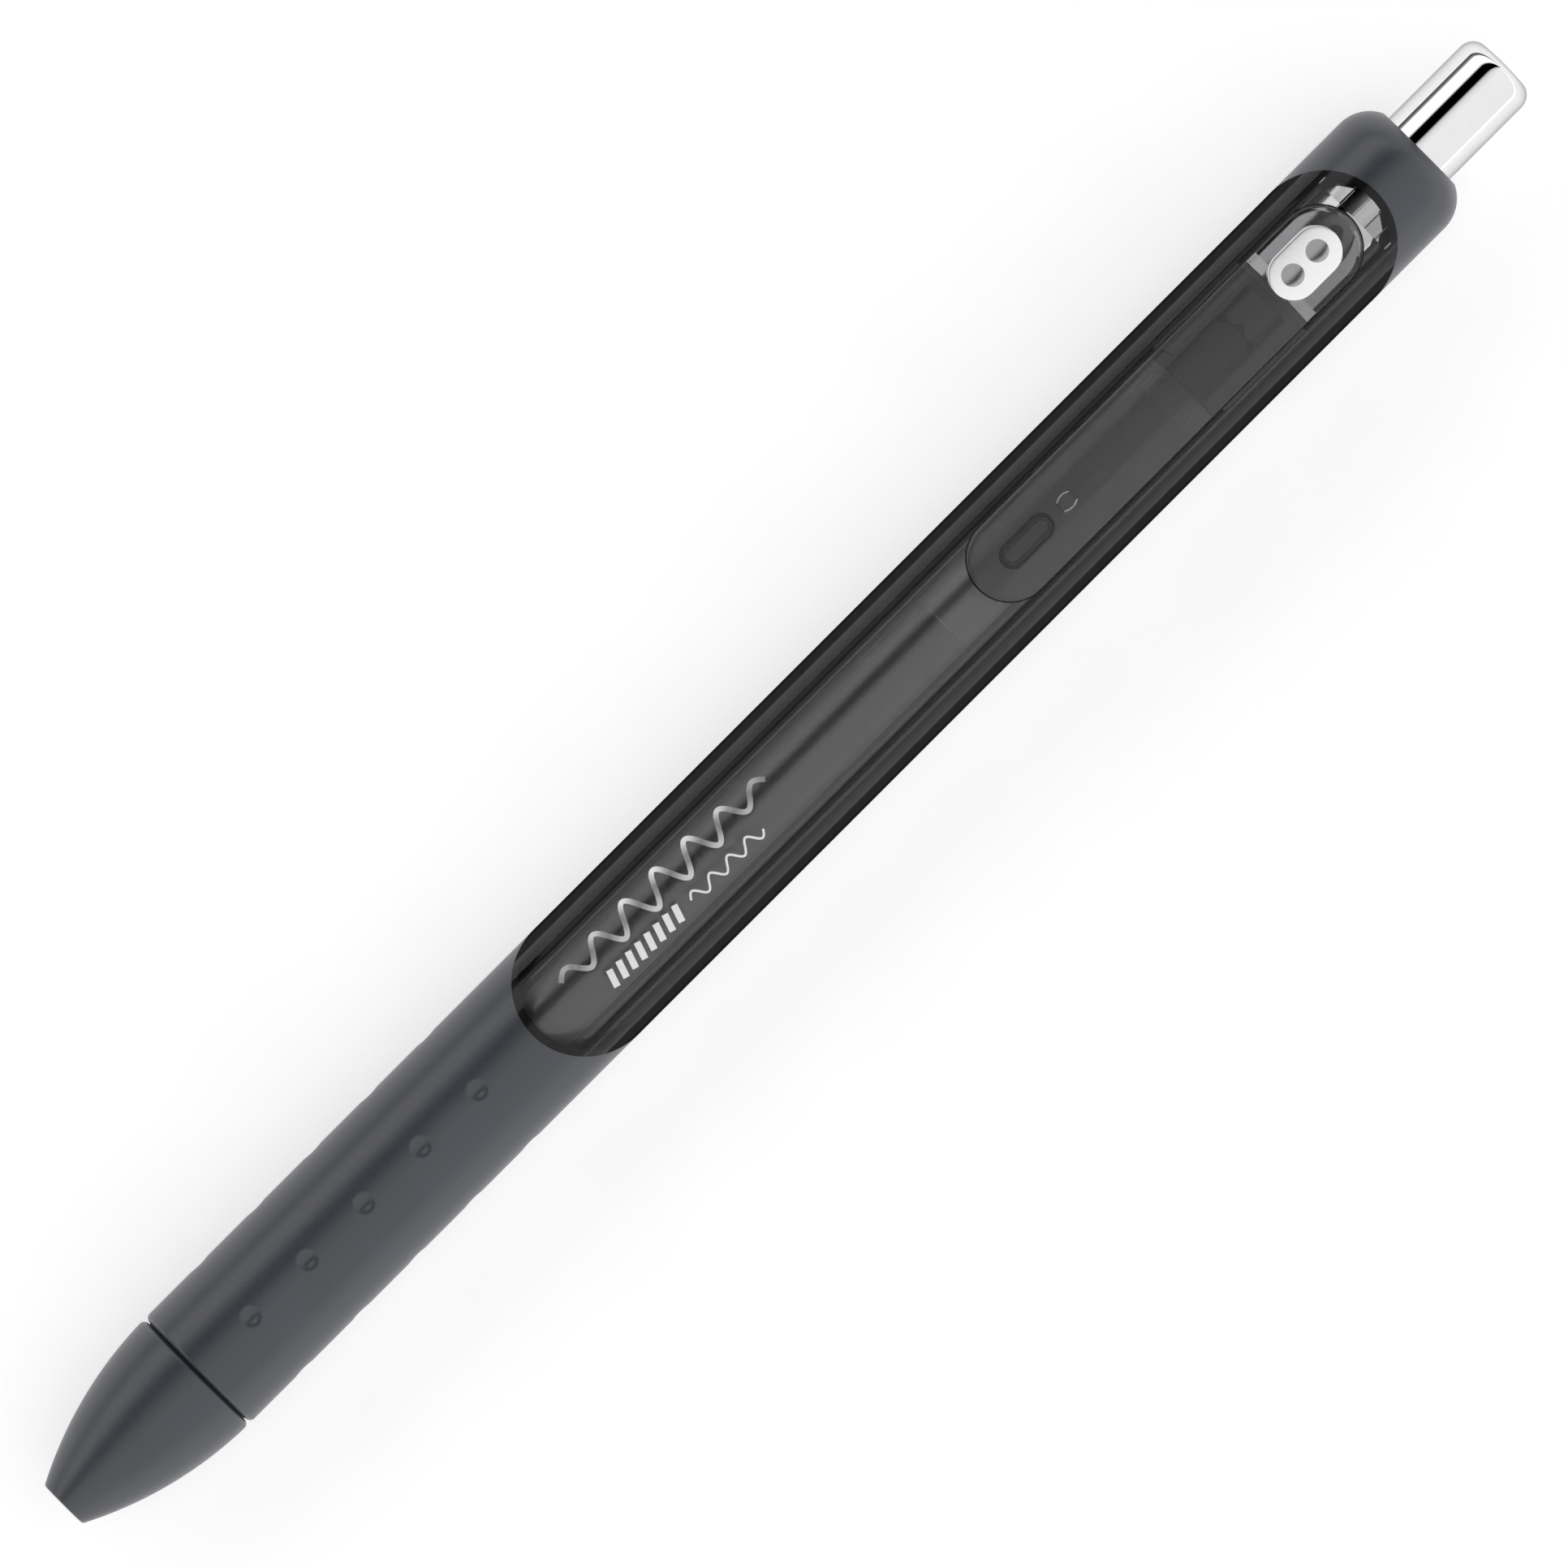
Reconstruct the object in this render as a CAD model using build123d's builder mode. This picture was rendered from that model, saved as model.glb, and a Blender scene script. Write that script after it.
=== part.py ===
"""Retractable gel pen with a rubber-jacketed smoke barrel, a long window, a sprung clip and a click button.

The pen lies on its back along X, button towards +X and clip on top. Units are millimetres.
The origin is under the middle of the pen's length, on the surface that it lies on.
Stations are distances along the pen from the end of the nose, and radii are measured from the pen's axis.
The point is drawn in and the button is out.
"""
from build123d import *
import os
from math import cos, radians, sin, sqrt, tan

# Driving dimensions
LENGTH = 145.0
BODY_R = 5.28
JACKET_T = 0.6
BORE_R = 3.5
BUTTON_R = 3.08
REFILL_R = 3.05
INK_R = 2.5
BALL_R = 0.35
TOUCH_GAP = 0.05

# Outside of the body
SEAM_S = 13.45
SEAM_GAP = 0.1
SHOULDER_S = 133.7
BODY_END_S = 136.4
BODY_END_R = 3.6
MOUTH_R = 3.2
EDGE_R = 0.45
TUBE_R = BODY_R - JACKET_T
NOSE_END_S = SEAM_S - SEAM_GAP / 2
BARREL_START_S = SEAM_S + SEAM_GAP / 2

# Nose, whose side is one arc
NOSE_ARC_R = 29.5
NOSE_ARC_S = 13.7
NOSE_SKIN_T = 0.55
NOSE_CORE_S = 0.6
NOSE_FACE_EDGE_R = 0.25
TIP_HOLE_R = 1.3
SPRING_SEAT_S = 4.6
SPRING_ROOM_R = 2.75
THREAD_BORE_S = 9.4
THREAD_BORE_R = 4.0

# Threaded front of the barrel
SPIGOT_S = 10.0
SPIGOT_R = 3.75
SPIGOT_BORE_R = 3.2
SPIGOT_BORE_END_S = 16.0
THREAD_R = 3.9
THREAD_PITCH = 0.8
THREAD_TURNS = 3

# Window in the jacket: two slanted ends that run into a floor just below the axis
WINDOW_START_S = 47.24
WINDOW_END_S = 132.03
WINDOW_SLANT = 1.02
WINDOW_FLOOR = -0.6
WINDOW_TOP = 8.0
WINDOW_FILLET = 4.0

# Grip dimples
DIMPLE_FIRST_S = 18.95
DIMPLE_PITCH = 5.69
DIMPLES_IN_ROW = 5
DIMPLE_ROWS = 4
DIMPLE_BALL_R = 1.2
DIMPLE_DEPTH = 0.2
DIMPLE_LIP_R = 0.2

# Click mechanism
GUIDE_START_S = 112.9
GUIDE_END_S = 121.5
LEDGE_T = 0.6
LEDGE_R = 3.14
RIB_HALF_DEG = 21
RIB_SLANT = 0.8
CAM_COUNT = 4
FIN_R = 3.44
CAM_R = 3.0
CAM_FACE_S = 118.0
ROTOR_FIN_START_S = 115.8
ROTOR_FIN_HALF_DEG = 10
ROTOR_REST_DEG = -11
PLUNGER_FIN_START_S = 118.9
PLUNGER_FIN_HALF_DEG = 17
PLUNGER_PLUG_END_S = 127.0
STEM_R = 1.4
STEM_END_S = 123.5
TOOTH_COUNT = 8
TOOTH_DEPTH = 0.55
CAP_START_S = 121.9
CAP_BORE_R = 2.5
CAP_TOP_T = 1.3
CAP_EDGE_L = 1.3
CAP_EDGE_DROP = 1.18
CAP_DOME = 0.1

# End bush
BUSH_START_S = 129.6
BUSH_FLANGE_S = 132.4
BUSH_FACETS = 20
BUSH_FACE_S = 134.4
BUSH_END_S = 135.8
BUSH_R = 4.45

# Refill
BALL_FRONT_S = 1.6
TIP_R = 1.15
TIP_CONE_L = 2.8
INK_CHANNEL_R = 0.6
HOLDER_START_S = 11.0
HOLDER_NECK_R = 1.75
HOLDER_SHOULDER_S = 18.0
REFILL_TUBE_S = 21.5
INK_START_S = 25.5
INK_END_S = 88.5
FOLLOWER_L = 4.0
REFILL_END_S = 112.5
TAIL_PLUG_L = 2.2
VENT_R = 0.7
SPRING_R = 2.45
SPRING_WIRE = 0.4

# Clip
CLIP_TIP_S = 92.0
CLIP_SPLIT_S = 121.0
CLIP_END_S = 129.45
CLIP_HALF_W = 3.18
CLIP_GAP = 1.15
CLIP_T = 1.35
CLIP_CROWN = 0.25
FLEX_GAP = 0.12
CLIP_BOTTOM = BODY_R + CLIP_GAP
CLIP_TOP = CLIP_BOTTOM + CLIP_T
PEDESTAL_START_S = 122.4
PEDESTAL_HALF_W = 2.65
FOOT_S = 125.4
FOOT_L = 4.4
FOOT_W = 2.6
FOOT_BOTTOM = 4.25
BUMP_S = 96.9
BUMP_L = 4.8
BUMP_W = 1.6
BUMP_CLEAR = 0.1
BUMP_EDGE_R = 0.35

# Badge on the clip's root
BADGE_S = 124.82
BADGE_L = 6.06
BADGE_W = 3.75
BADGE_SEAT = 0.5
BADGE_PROUD = 0.12
BADGE_FIT = 0.06
DISH_R = 0.85
DISH_DEPTH = 0.28
DISH_SPACING = 2.45

HALF_LENGTH = LENGTH / 2
PEN_AXIS = Axis((0, 0, BODY_R), (1, 0, 0))
# In a lengthwise section, local x is the station and local y the radius.
SECTION = Plane(origin=(-HALF_LENGTH, 0, BODY_R), x_dir=(1, 0, 0), z_dir=(0, -1, 0))


def across(station):
    """Plane across the pen: local x is +Y and local y is +Z, so 90 degrees is the clip's side."""
    return Plane(origin=(station - HALF_LENGTH, 0, BODY_R), x_dir=(0, 1, 0), z_dir=(1, 0, 0))


def level(height):
    """Level plane at a height above the pen's axis, with the station as local x."""
    return Plane(origin=(-HALF_LENGTH, 0, BODY_R + height), x_dir=(1, 0, 0), z_dir=(0, 0, 1))


def facing_out(station, angle, radius):
    """Plane at a radius that faces outwards at an angle around the pen, with local x along the pen."""
    out = (0, cos(radians(angle)), sin(radians(angle)))
    origin = (station - HALF_LENGTH, out[1] * radius, BODY_R + out[2] * radius)
    return Plane(origin=origin, x_dir=(1, 0, 0), z_dir=out)


def wedge(half_deg, reach=6.0):
    """Corners of a triangle that opens outwards from the pen's axis."""
    side = reach * tan(radians(half_deg))
    return (0, 0), (reach, -side), (reach, side)


def nose_side(start, end, inset=0.0):
    """The nose's side between two stations, or the same arc set inwards, in the current BuildLine."""
    arc_r = NOSE_ARC_R - inset
    points = []
    for station in (start, (start + end) / 2, end):
        points.append((station, BODY_R - NOSE_ARC_R + sqrt(arc_r**2 - (NOSE_ARC_S - station) ** 2)))
    return ThreePointArc(*points)


def outer_rim(builder, end):
    """Outermost circular edge of a round piece, at the nose's end (0) or the button's (-1)."""
    circles = builder.edges().filter_by(GeomType.CIRCLE)
    return circles.group_by(Axis.X)[end].sort_by(SortBy.LENGTH)[-1]


pieces = []


def keep(piece, name):
    """Labels a finished piece and puts it on the list of pieces to write."""
    piece.label = name
    pieces.append(piece)


# Window outline in side view
top_shift = (WINDOW_TOP - BODY_R) * WINDOW_SLANT
floor_shift = (BODY_R - WINDOW_FLOOR) * WINDOW_SLANT
with BuildSketch(SECTION) as window_side:
    Polygon(
        (WINDOW_START_S - top_shift, WINDOW_TOP),
        (WINDOW_START_S + floor_shift, WINDOW_FLOOR),
        (WINDOW_END_S - floor_shift, WINDOW_FLOOR),
        (WINDOW_END_S + top_shift, WINDOW_TOP),
        align=None,
    )
    fillet(window_side.vertices().group_by(Axis.Y)[0], WINDOW_FILLET)

# Rubber jacket with its window, and rows of round dimples in the grip
with BuildPart() as barrel_jacket:
    with BuildSketch(SECTION):
        with BuildLine():
            side = Line((BARREL_START_S, BODY_R), (SHOULDER_S, BODY_R))
            shoulder = TangentArc(side @ 1, (BODY_END_S, BODY_END_R), tangent=side % 1)
            Polyline(
                shoulder @ 1,
                (BODY_END_S, MOUTH_R),
                (BUSH_END_S, MOUTH_R),
                (BUSH_END_S, BODY_END_R),
                (BUSH_FACE_S, BUSH_R),
                (BUSH_FACE_S, TUBE_R),
                (BARREL_START_S, TUBE_R),
                side @ 0,
            )
        make_face()
    revolve(axis=PEN_AXIS)
    fillet(outer_rim(barrel_jacket, 0), EDGE_R)
    for row in range(DIMPLE_ROWS):
        for place in range(DIMPLES_IN_ROW):
            dimple_s = DIMPLE_FIRST_S + place * DIMPLE_PITCH
            row_angle = 90 + row * 360 / DIMPLE_ROWS
            with Locations(facing_out(dimple_s, row_angle, BODY_R - DIMPLE_DEPTH + DIMPLE_BALL_R)):
                Sphere(DIMPLE_BALL_R, mode=Mode.SUBTRACT)
    dimples = barrel_jacket.faces().filter_by(GeomType.SPHERE)
    fillet([dimple.edges().sort_by(SortBy.LENGTH)[-1] for dimple in dimples], DIMPLE_LIP_R)
    extrude(window_side.sketch, amount=BODY_R + 1, both=True, mode=Mode.SUBTRACT)
keep(barrel_jacket.part, "barrel_jacket")

# Smoke barrel: window pad flush with the jacket, threaded front, stepped bore, pocket for the clip's foot
with BuildPart() as barrel_tube:
    with BuildSketch(across(WINDOW_START_S - 1)):
        Circle(BODY_R)
        Circle(TUBE_R - 0.2, mode=Mode.SUBTRACT)
    extrude(amount=WINDOW_END_S - WINDOW_START_S + 2)
    extrude(window_side.sketch, amount=BODY_R + 1, both=True, mode=Mode.INTERSECT)
    with BuildSketch(SECTION):
        Polygon(
            (SPIGOT_S, SPIGOT_BORE_R),
            (SPIGOT_S, SPIGOT_R),
            (BARREL_START_S, SPIGOT_R),
            (BARREL_START_S, TUBE_R),
            (BUSH_FACE_S, TUBE_R),
            (BUSH_FACE_S, BORE_R),
            (SPIGOT_BORE_END_S + 0.4, BORE_R),
            (SPIGOT_BORE_END_S, SPIGOT_BORE_R),
            align=None,
        )
    revolve(axis=PEN_AXIS)
    for turn in range(THREAD_TURNS):
        crest = SPIGOT_S + 0.85 + turn * THREAD_PITCH
        with BuildSketch(SECTION):
            Polygon(
                (crest - 0.3, SPIGOT_R - 0.1),
                (crest - 0.1, THREAD_R),
                (crest + 0.1, THREAD_R),
                (crest + 0.3, SPIGOT_R - 0.1),
                align=None,
            )
        revolve(axis=PEN_AXIS)
    with BuildSketch(level(FOOT_BOTTOM)):
        with Locations((FOOT_S, 0)):
            Rectangle(FOOT_L, FOOT_W)
    extrude(amount=2, mode=Mode.SUBTRACT)
keep(barrel_tube.part, "barrel_tube")

# Guide crown, fixed in the bore: straight ribs that end in slants, and a ledge that keeps the button in
RIB_HALF_W = BORE_R * sin(radians(RIB_HALF_DEG)) + 0.2
with BuildPart() as guide_crown:
    with BuildSketch(across(GUIDE_START_S)):
        with PolarLocations(0, CAM_COUNT, start_angle=180 / CAM_COUNT):
            Polygon(*wedge(RIB_HALF_DEG), align=None)
        Circle(BORE_R, mode=Mode.INTERSECT)
        Circle(LEDGE_R, mode=Mode.SUBTRACT)
    extrude(amount=GUIDE_END_S - GUIDE_START_S)
    for rib in range(CAM_COUNT):
        with BuildSketch(facing_out(GUIDE_START_S, (rib + 0.5) * 360 / CAM_COUNT, CAM_R)):
            Polygon((-0.1, -RIB_HALF_W), (RIB_SLANT, -RIB_HALF_W), (-0.1, RIB_HALF_W), align=None)
        extrude(amount=1, mode=Mode.SUBTRACT)
    with BuildSketch(across(GUIDE_END_S - LEDGE_T)):
        Circle(BORE_R)
        Circle(LEDGE_R, mode=Mode.SUBTRACT)
    extrude(amount=LEDGE_T)
keep(guide_crown.part, "guide_crown")

# Bush that guides the button at the end of the barrel, with flats around its collar
with BuildPart() as end_bush:
    with BuildSketch(across(BUSH_START_S)):
        RegularPolygon(BORE_R, BUSH_FACETS)
        Circle(LEDGE_R, mode=Mode.SUBTRACT)
    extrude(amount=BUSH_FLANGE_S - BUSH_START_S)
    with BuildSketch(SECTION):
        Polygon(
            (BUSH_FLANGE_S, LEDGE_R),
            (BUSH_FLANGE_S, BORE_R),
            (BUSH_FACE_S, BORE_R),
            (BUSH_FACE_S, BUSH_R),
            (BUSH_END_S, BODY_END_R),
            (BUSH_END_S, LEDGE_R),
            align=None,
        )
    revolve(axis=PEN_AXIS)
keep(end_bush.part, "end_bush")

# Nose core: tip hole, spring room and the bore that takes the barrel's thread
with BuildPart() as nose_core:
    with BuildSketch(SECTION):
        with BuildLine():
            core_side = nose_side(NOSE_CORE_S, NOSE_END_S, NOSE_SKIN_T)
            Polyline(
                core_side @ 1,
                (NOSE_END_S, THREAD_BORE_R),
                (THREAD_BORE_S, THREAD_BORE_R),
                (THREAD_BORE_S, SPRING_ROOM_R),
                (SPRING_SEAT_S, SPRING_ROOM_R),
                (SPRING_SEAT_S, TIP_HOLE_R),
                (NOSE_CORE_S, TIP_HOLE_R),
                core_side @ 0,
            )
        make_face()
    revolve(axis=PEN_AXIS)
keep(nose_core.part, "nose_core")

# Rubber skin of the nose, which wraps its front face
with BuildPart() as nose_skin:
    with BuildSketch(SECTION):
        with BuildLine():
            skin_side = nose_side(0, NOSE_END_S)
            skin_inside = nose_side(NOSE_CORE_S, NOSE_END_S, NOSE_SKIN_T)
            Line(skin_side @ 1, skin_inside @ 1)
            Polyline(skin_inside @ 0, (NOSE_CORE_S, TIP_HOLE_R), (0, TIP_HOLE_R), skin_side @ 0)
        make_face()
    revolve(axis=PEN_AXIS)
    fillet(outer_rim(nose_skin, 0), NOSE_FACE_EDGE_R)
    fillet(outer_rim(nose_skin, -1), EDGE_R)
keep(nose_skin.part, "nose_skin")

# Return spring, as the sleeve that its coils fill
with BuildPart() as return_spring:
    with BuildSketch(across(SPRING_SEAT_S + TOUCH_GAP)):
        Circle(SPRING_R)
        Circle(SPRING_R - SPRING_WIRE, mode=Mode.SUBTRACT)
    extrude(amount=HOLDER_SHOULDER_S - SPRING_SEAT_S - 2 * TOUCH_GAP)
keep(return_spring.part, "return_spring")

# Writing ball
BALL_S = BALL_FRONT_S + BALL_R
with BuildPart() as writing_ball:
    with Locations((BALL_S - HALF_LENGTH, 0, BODY_R)):
        Sphere(BALL_R)
keep(writing_ball.part, "writing_ball")

# Writing tip: cone, straight shank, ink channel and the socket that holds the ball
SOCKET_R = BALL_R + 0.02
LIP_S = BALL_S - 0.15
TIP_TAIL_S = HOLDER_START_S + 3.0
with BuildPart() as writing_tip:
    with BuildSketch(SECTION):
        Polygon(
            (LIP_S, 0),
            (LIP_S, 0.4),
            (BALL_S + 0.05, 0.46),
            (LIP_S + TIP_CONE_L, TIP_R),
            (TIP_TAIL_S, TIP_R),
            (TIP_TAIL_S, 0.5),
            (BALL_S + 1.3, 0.5),
            (BALL_S + 1.1, 0.18),
            (BALL_S, 0.18),
            (BALL_S, 0),
            align=None,
        )
    revolve(axis=PEN_AXIS)
    with Locations((BALL_S - HALF_LENGTH, 0, BODY_R)):
        Sphere(SOCKET_R, mode=Mode.SUBTRACT)
keep(writing_tip.part, "writing_tip")

# Tip holder: neck inside the spring, shoulder for the spring, plug in the refill tube
with BuildPart() as tip_holder:
    with BuildSketch(SECTION):
        Polygon(
            (HOLDER_START_S, TIP_R),
            (HOLDER_START_S, HOLDER_NECK_R - 0.3),
            (HOLDER_START_S + 0.5, HOLDER_NECK_R),
            (HOLDER_SHOULDER_S, HOLDER_NECK_R),
            (HOLDER_SHOULDER_S, REFILL_R - 0.3),
            (HOLDER_SHOULDER_S + 0.3, REFILL_R),
            (REFILL_TUBE_S, REFILL_R),
            (REFILL_TUBE_S, INK_R),
            (INK_START_S, INK_R),
            (INK_START_S, INK_CHANNEL_R),
            (TIP_TAIL_S, INK_CHANNEL_R),
            (TIP_TAIL_S, TIP_R),
            align=None,
        )
    revolve(axis=PEN_AXIS)
keep(tip_holder.part, "tip_holder")

# Refill tube
with BuildPart() as refill_tube:
    with BuildSketch(across(REFILL_TUBE_S)):
        Circle(REFILL_R)
        Circle(INK_R, mode=Mode.SUBTRACT)
    extrude(amount=REFILL_END_S - REFILL_TUBE_S)
keep(refill_tube.part, "refill_tube")

# Ink, and the clear follower that floats behind it
with BuildPart() as ink_column:
    with BuildSketch(across(INK_START_S)):
        Circle(INK_R)
    extrude(amount=INK_END_S - INK_START_S)
keep(ink_column.part, "ink_column")

with BuildPart() as ink_follower:
    with BuildSketch(across(INK_END_S)):
        Circle(INK_R)
    extrude(amount=FOLLOWER_L)
keep(ink_follower.part, "ink_follower")

# Vented plug in the refill's tail
with BuildPart() as tail_plug:
    with BuildSketch(across(REFILL_END_S - TAIL_PLUG_L)):
        Circle(INK_R)
        Circle(VENT_R, mode=Mode.SUBTRACT)
    extrude(amount=TAIL_PLUG_L)
keep(tail_plug.part, "tail_plug")

# Rotor cam: toothed end, fins that run between the guide's ribs, and a stem in the plunger
ROTOR_START_S = REFILL_END_S + TOUCH_GAP
TOOTH_ROOT_S = CAM_FACE_S - TOOTH_DEPTH
with BuildPart() as rotor_cam:
    with BuildSketch(across(ROTOR_START_S)):
        Circle(CAM_R)
    extrude(amount=CAM_FACE_S - ROTOR_START_S)
    for tooth in range(TOOTH_COUNT):
        with BuildSketch(facing_out(CAM_FACE_S, (tooth + 0.5) * 360 / TOOTH_COUNT, STEM_R)):
            Polygon((0.1, -TOOTH_DEPTH), (0.1, TOOTH_DEPTH), (-TOOTH_DEPTH, 0), align=None)
        extrude(amount=2, mode=Mode.SUBTRACT)
    with BuildSketch(across(ROTOR_FIN_START_S)):
        with PolarLocations(0, CAM_COUNT, start_angle=ROTOR_REST_DEG):
            Polygon(*wedge(ROTOR_FIN_HALF_DEG), align=None)
        Circle(FIN_R, mode=Mode.INTERSECT)
    extrude(amount=TOOTH_ROOT_S - ROTOR_FIN_START_S)
    with BuildSketch(across(TOOTH_ROOT_S)):
        Circle(STEM_R)
    extrude(amount=STEM_END_S - TOOTH_ROOT_S)
keep(rotor_cam.part, "rotor_cam")

# Cam plunger: teeth that face the rotor, fins under the guide's ledge, and a plug in the cap
PLUNGER_FACE_S = CAM_FACE_S + 2 * TOUCH_GAP
LEDGE_S = GUIDE_END_S - LEDGE_T
with BuildPart() as cam_plunger:
    with BuildSketch(across(PLUNGER_FACE_S)):
        Circle(CAM_R)
    extrude(amount=CAP_START_S - PLUNGER_FACE_S)
    for tooth in range(TOOTH_COUNT):
        with BuildSketch(facing_out(PLUNGER_FACE_S, tooth * 360 / TOOTH_COUNT, STEM_R)):
            Polygon((-0.1, -TOOTH_DEPTH), (-0.1, TOOTH_DEPTH), (TOOTH_DEPTH, 0), align=None)
        extrude(amount=2, mode=Mode.SUBTRACT)
    with BuildSketch(across(PLUNGER_FIN_START_S)):
        with PolarLocations(0, CAM_COUNT):
            Polygon(*wedge(PLUNGER_FIN_HALF_DEG), align=None)
        Circle(FIN_R, mode=Mode.INTERSECT)
    extrude(amount=LEDGE_S - TOUCH_GAP - PLUNGER_FIN_START_S)
    with BuildSketch(across(CAP_START_S)):
        Circle(CAP_BORE_R)
    extrude(amount=PLUNGER_PLUG_END_S - CAP_START_S)
    with BuildSketch(across(PLUNGER_FACE_S)):
        Circle(STEM_R + 0.1)
    extrude(amount=STEM_END_S + 0.5 - PLUNGER_FACE_S, mode=Mode.SUBTRACT)
keep(cam_plunger.part, "cam_plunger")

# Button cap: thin chromed cap with a rounded, slightly domed top
CAP_SIDE_END_S = LENGTH - CAP_DOME - CAP_EDGE_L
with BuildPart() as button_cap:
    with BuildSketch(SECTION):
        with BuildLine():
            cap_side = Line((CAP_START_S, BUTTON_R), (CAP_SIDE_END_S, BUTTON_R))
            cap_edge = TangentArc(
                cap_side @ 1, (LENGTH - CAP_DOME, BUTTON_R - CAP_EDGE_DROP), tangent=cap_side % 1
            )
            cap_dome = TangentArc((LENGTH, 0), cap_edge @ 1, tangent=(0, 1))
            Polyline(
                cap_dome @ 0,
                (LENGTH - CAP_TOP_T, 0),
                (LENGTH - CAP_TOP_T, CAP_BORE_R - 0.5),
                (LENGTH - CAP_TOP_T - 0.5, CAP_BORE_R),
                (CAP_START_S, CAP_BORE_R),
                cap_side @ 0,
            )
        make_face()
    revolve(axis=PEN_AXIS)
keep(button_cap.part, "button_cap")


def above_crown(lift):
    """Space over the clip's crowned top, or over the same crown lifted, as a section across the pen."""
    edge = CLIP_TOP + lift - CLIP_CROWN
    with BuildSketch(across(CLIP_TIP_S - 1)) as space:
        with BuildLine():
            crown = ThreePointArc((-CLIP_HALF_W, edge), (0, edge + CLIP_CROWN), (CLIP_HALF_W, edge))
            Polyline(
                crown @ 1,
                (CLIP_HALF_W + 1, edge),
                (CLIP_HALF_W + 1, edge + 2),
                (-CLIP_HALF_W - 1, edge + 2),
                (-CLIP_HALF_W - 1, edge),
                crown @ 0,
            )
        make_face()
    return space.sketch


above_clip = above_crown(0)
above_badge = above_crown(BADGE_PROUD)
CROWN_L = CLIP_END_S - CLIP_TIP_S + 2

# Clip arm: the springy length of the clip, with a rounded tip and the bump that grips a pocket
ARM_ROUND_S = CLIP_TIP_S + CLIP_HALF_W
with BuildPart() as clip_arm:
    with BuildSketch(level(CLIP_BOTTOM)):
        with Locations((ARM_ROUND_S, 0)):
            Circle(CLIP_HALF_W)
            Rectangle(
                CLIP_SPLIT_S - FLEX_GAP - ARM_ROUND_S, 2 * CLIP_HALF_W, align=(Align.MIN, Align.CENTER)
            )
    extrude(amount=CLIP_T)
    extrude(above_clip, amount=CROWN_L, mode=Mode.SUBTRACT)
    with BuildSketch(level(BODY_R + BUMP_CLEAR)):
        with Locations((BUMP_S, 0)):
            SlotOverall(BUMP_L, BUMP_W)
    extrude(amount=CLIP_GAP)
    fillet(clip_arm.faces().sort_by(Axis.Z)[0].edges(), BUMP_EDGE_R)
keep(clip_arm.part, "clip_arm")

# Clip root: head of the clip, pedestal shaped to the barrel, and a foot in the barrel's pocket
ROOT_ROUND_S = CLIP_END_S - CLIP_HALF_W
with BuildPart() as clip_root:
    with BuildSketch(level(BODY_R / 2)):
        with Locations((ROOT_ROUND_S, 0)):
            Circle(PEDESTAL_HALF_W)
            Rectangle(ROOT_ROUND_S - PEDESTAL_START_S, 2 * PEDESTAL_HALF_W, align=(Align.MAX, Align.CENTER))
    extrude(amount=CLIP_BOTTOM - BODY_R / 2 + 0.2)
    with BuildSketch(across(PEDESTAL_START_S - 1)):
        Circle(BODY_R)
    extrude(amount=CLIP_END_S - PEDESTAL_START_S + 2, mode=Mode.SUBTRACT)
    with BuildSketch(level(FOOT_BOTTOM)):
        with Locations((FOOT_S, 0)):
            Rectangle(FOOT_L, FOOT_W)
    extrude(amount=CLIP_BOTTOM - FOOT_BOTTOM)
    with BuildSketch(level(CLIP_BOTTOM)):
        with Locations((ROOT_ROUND_S, 0)):
            Circle(CLIP_HALF_W)
            Rectangle(ROOT_ROUND_S - CLIP_SPLIT_S, 2 * CLIP_HALF_W, align=(Align.MAX, Align.CENTER))
    extrude(amount=CLIP_T)
    extrude(above_clip, amount=CROWN_L, mode=Mode.SUBTRACT)
    with BuildSketch(level(CLIP_TOP - BADGE_SEAT)):
        with Locations((BADGE_S, 0)):
            SlotOverall(BADGE_L + 2 * BADGE_FIT, BADGE_W + 2 * BADGE_FIT)
    extrude(amount=1, mode=Mode.SUBTRACT)
keep(clip_root.part, "clip_root")

# Badge: a crowned plate with two round dishes, a little proud of the clip
DISH_BALL_R = (DISH_R**2 + DISH_DEPTH**2) / (2 * DISH_DEPTH)
DISH_BALL_HEIGHT = CLIP_TOP + BADGE_PROUD - DISH_DEPTH + DISH_BALL_R
with BuildPart() as clip_badge:
    with BuildSketch(level(CLIP_TOP - BADGE_SEAT)):
        with Locations((BADGE_S, 0)):
            SlotOverall(BADGE_L, BADGE_W)
    extrude(amount=1)
    extrude(above_badge, amount=CROWN_L, mode=Mode.SUBTRACT)
    for dish_s in (BADGE_S - DISH_SPACING / 2, BADGE_S + DISH_SPACING / 2):
        with Locations((dish_s - HALF_LENGTH, 0, BODY_R + DISH_BALL_HEIGHT)):
            Sphere(DISH_BALL_R, mode=Mode.SUBTRACT)
keep(clip_badge.part, "clip_badge")

os.makedirs("parts", exist_ok=True)
for piece in pieces:
    export_step(piece, f"parts/{piece.label}.step")
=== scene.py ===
"""Looks of the gel pen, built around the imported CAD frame.

The pen lies along X with its button towards +X and its clip on top. Helpers take millimetres in the pen's own
terms: a station is the distance from the end of the nose, and y and height are measured from the pen's axis.
"""

import math

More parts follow.
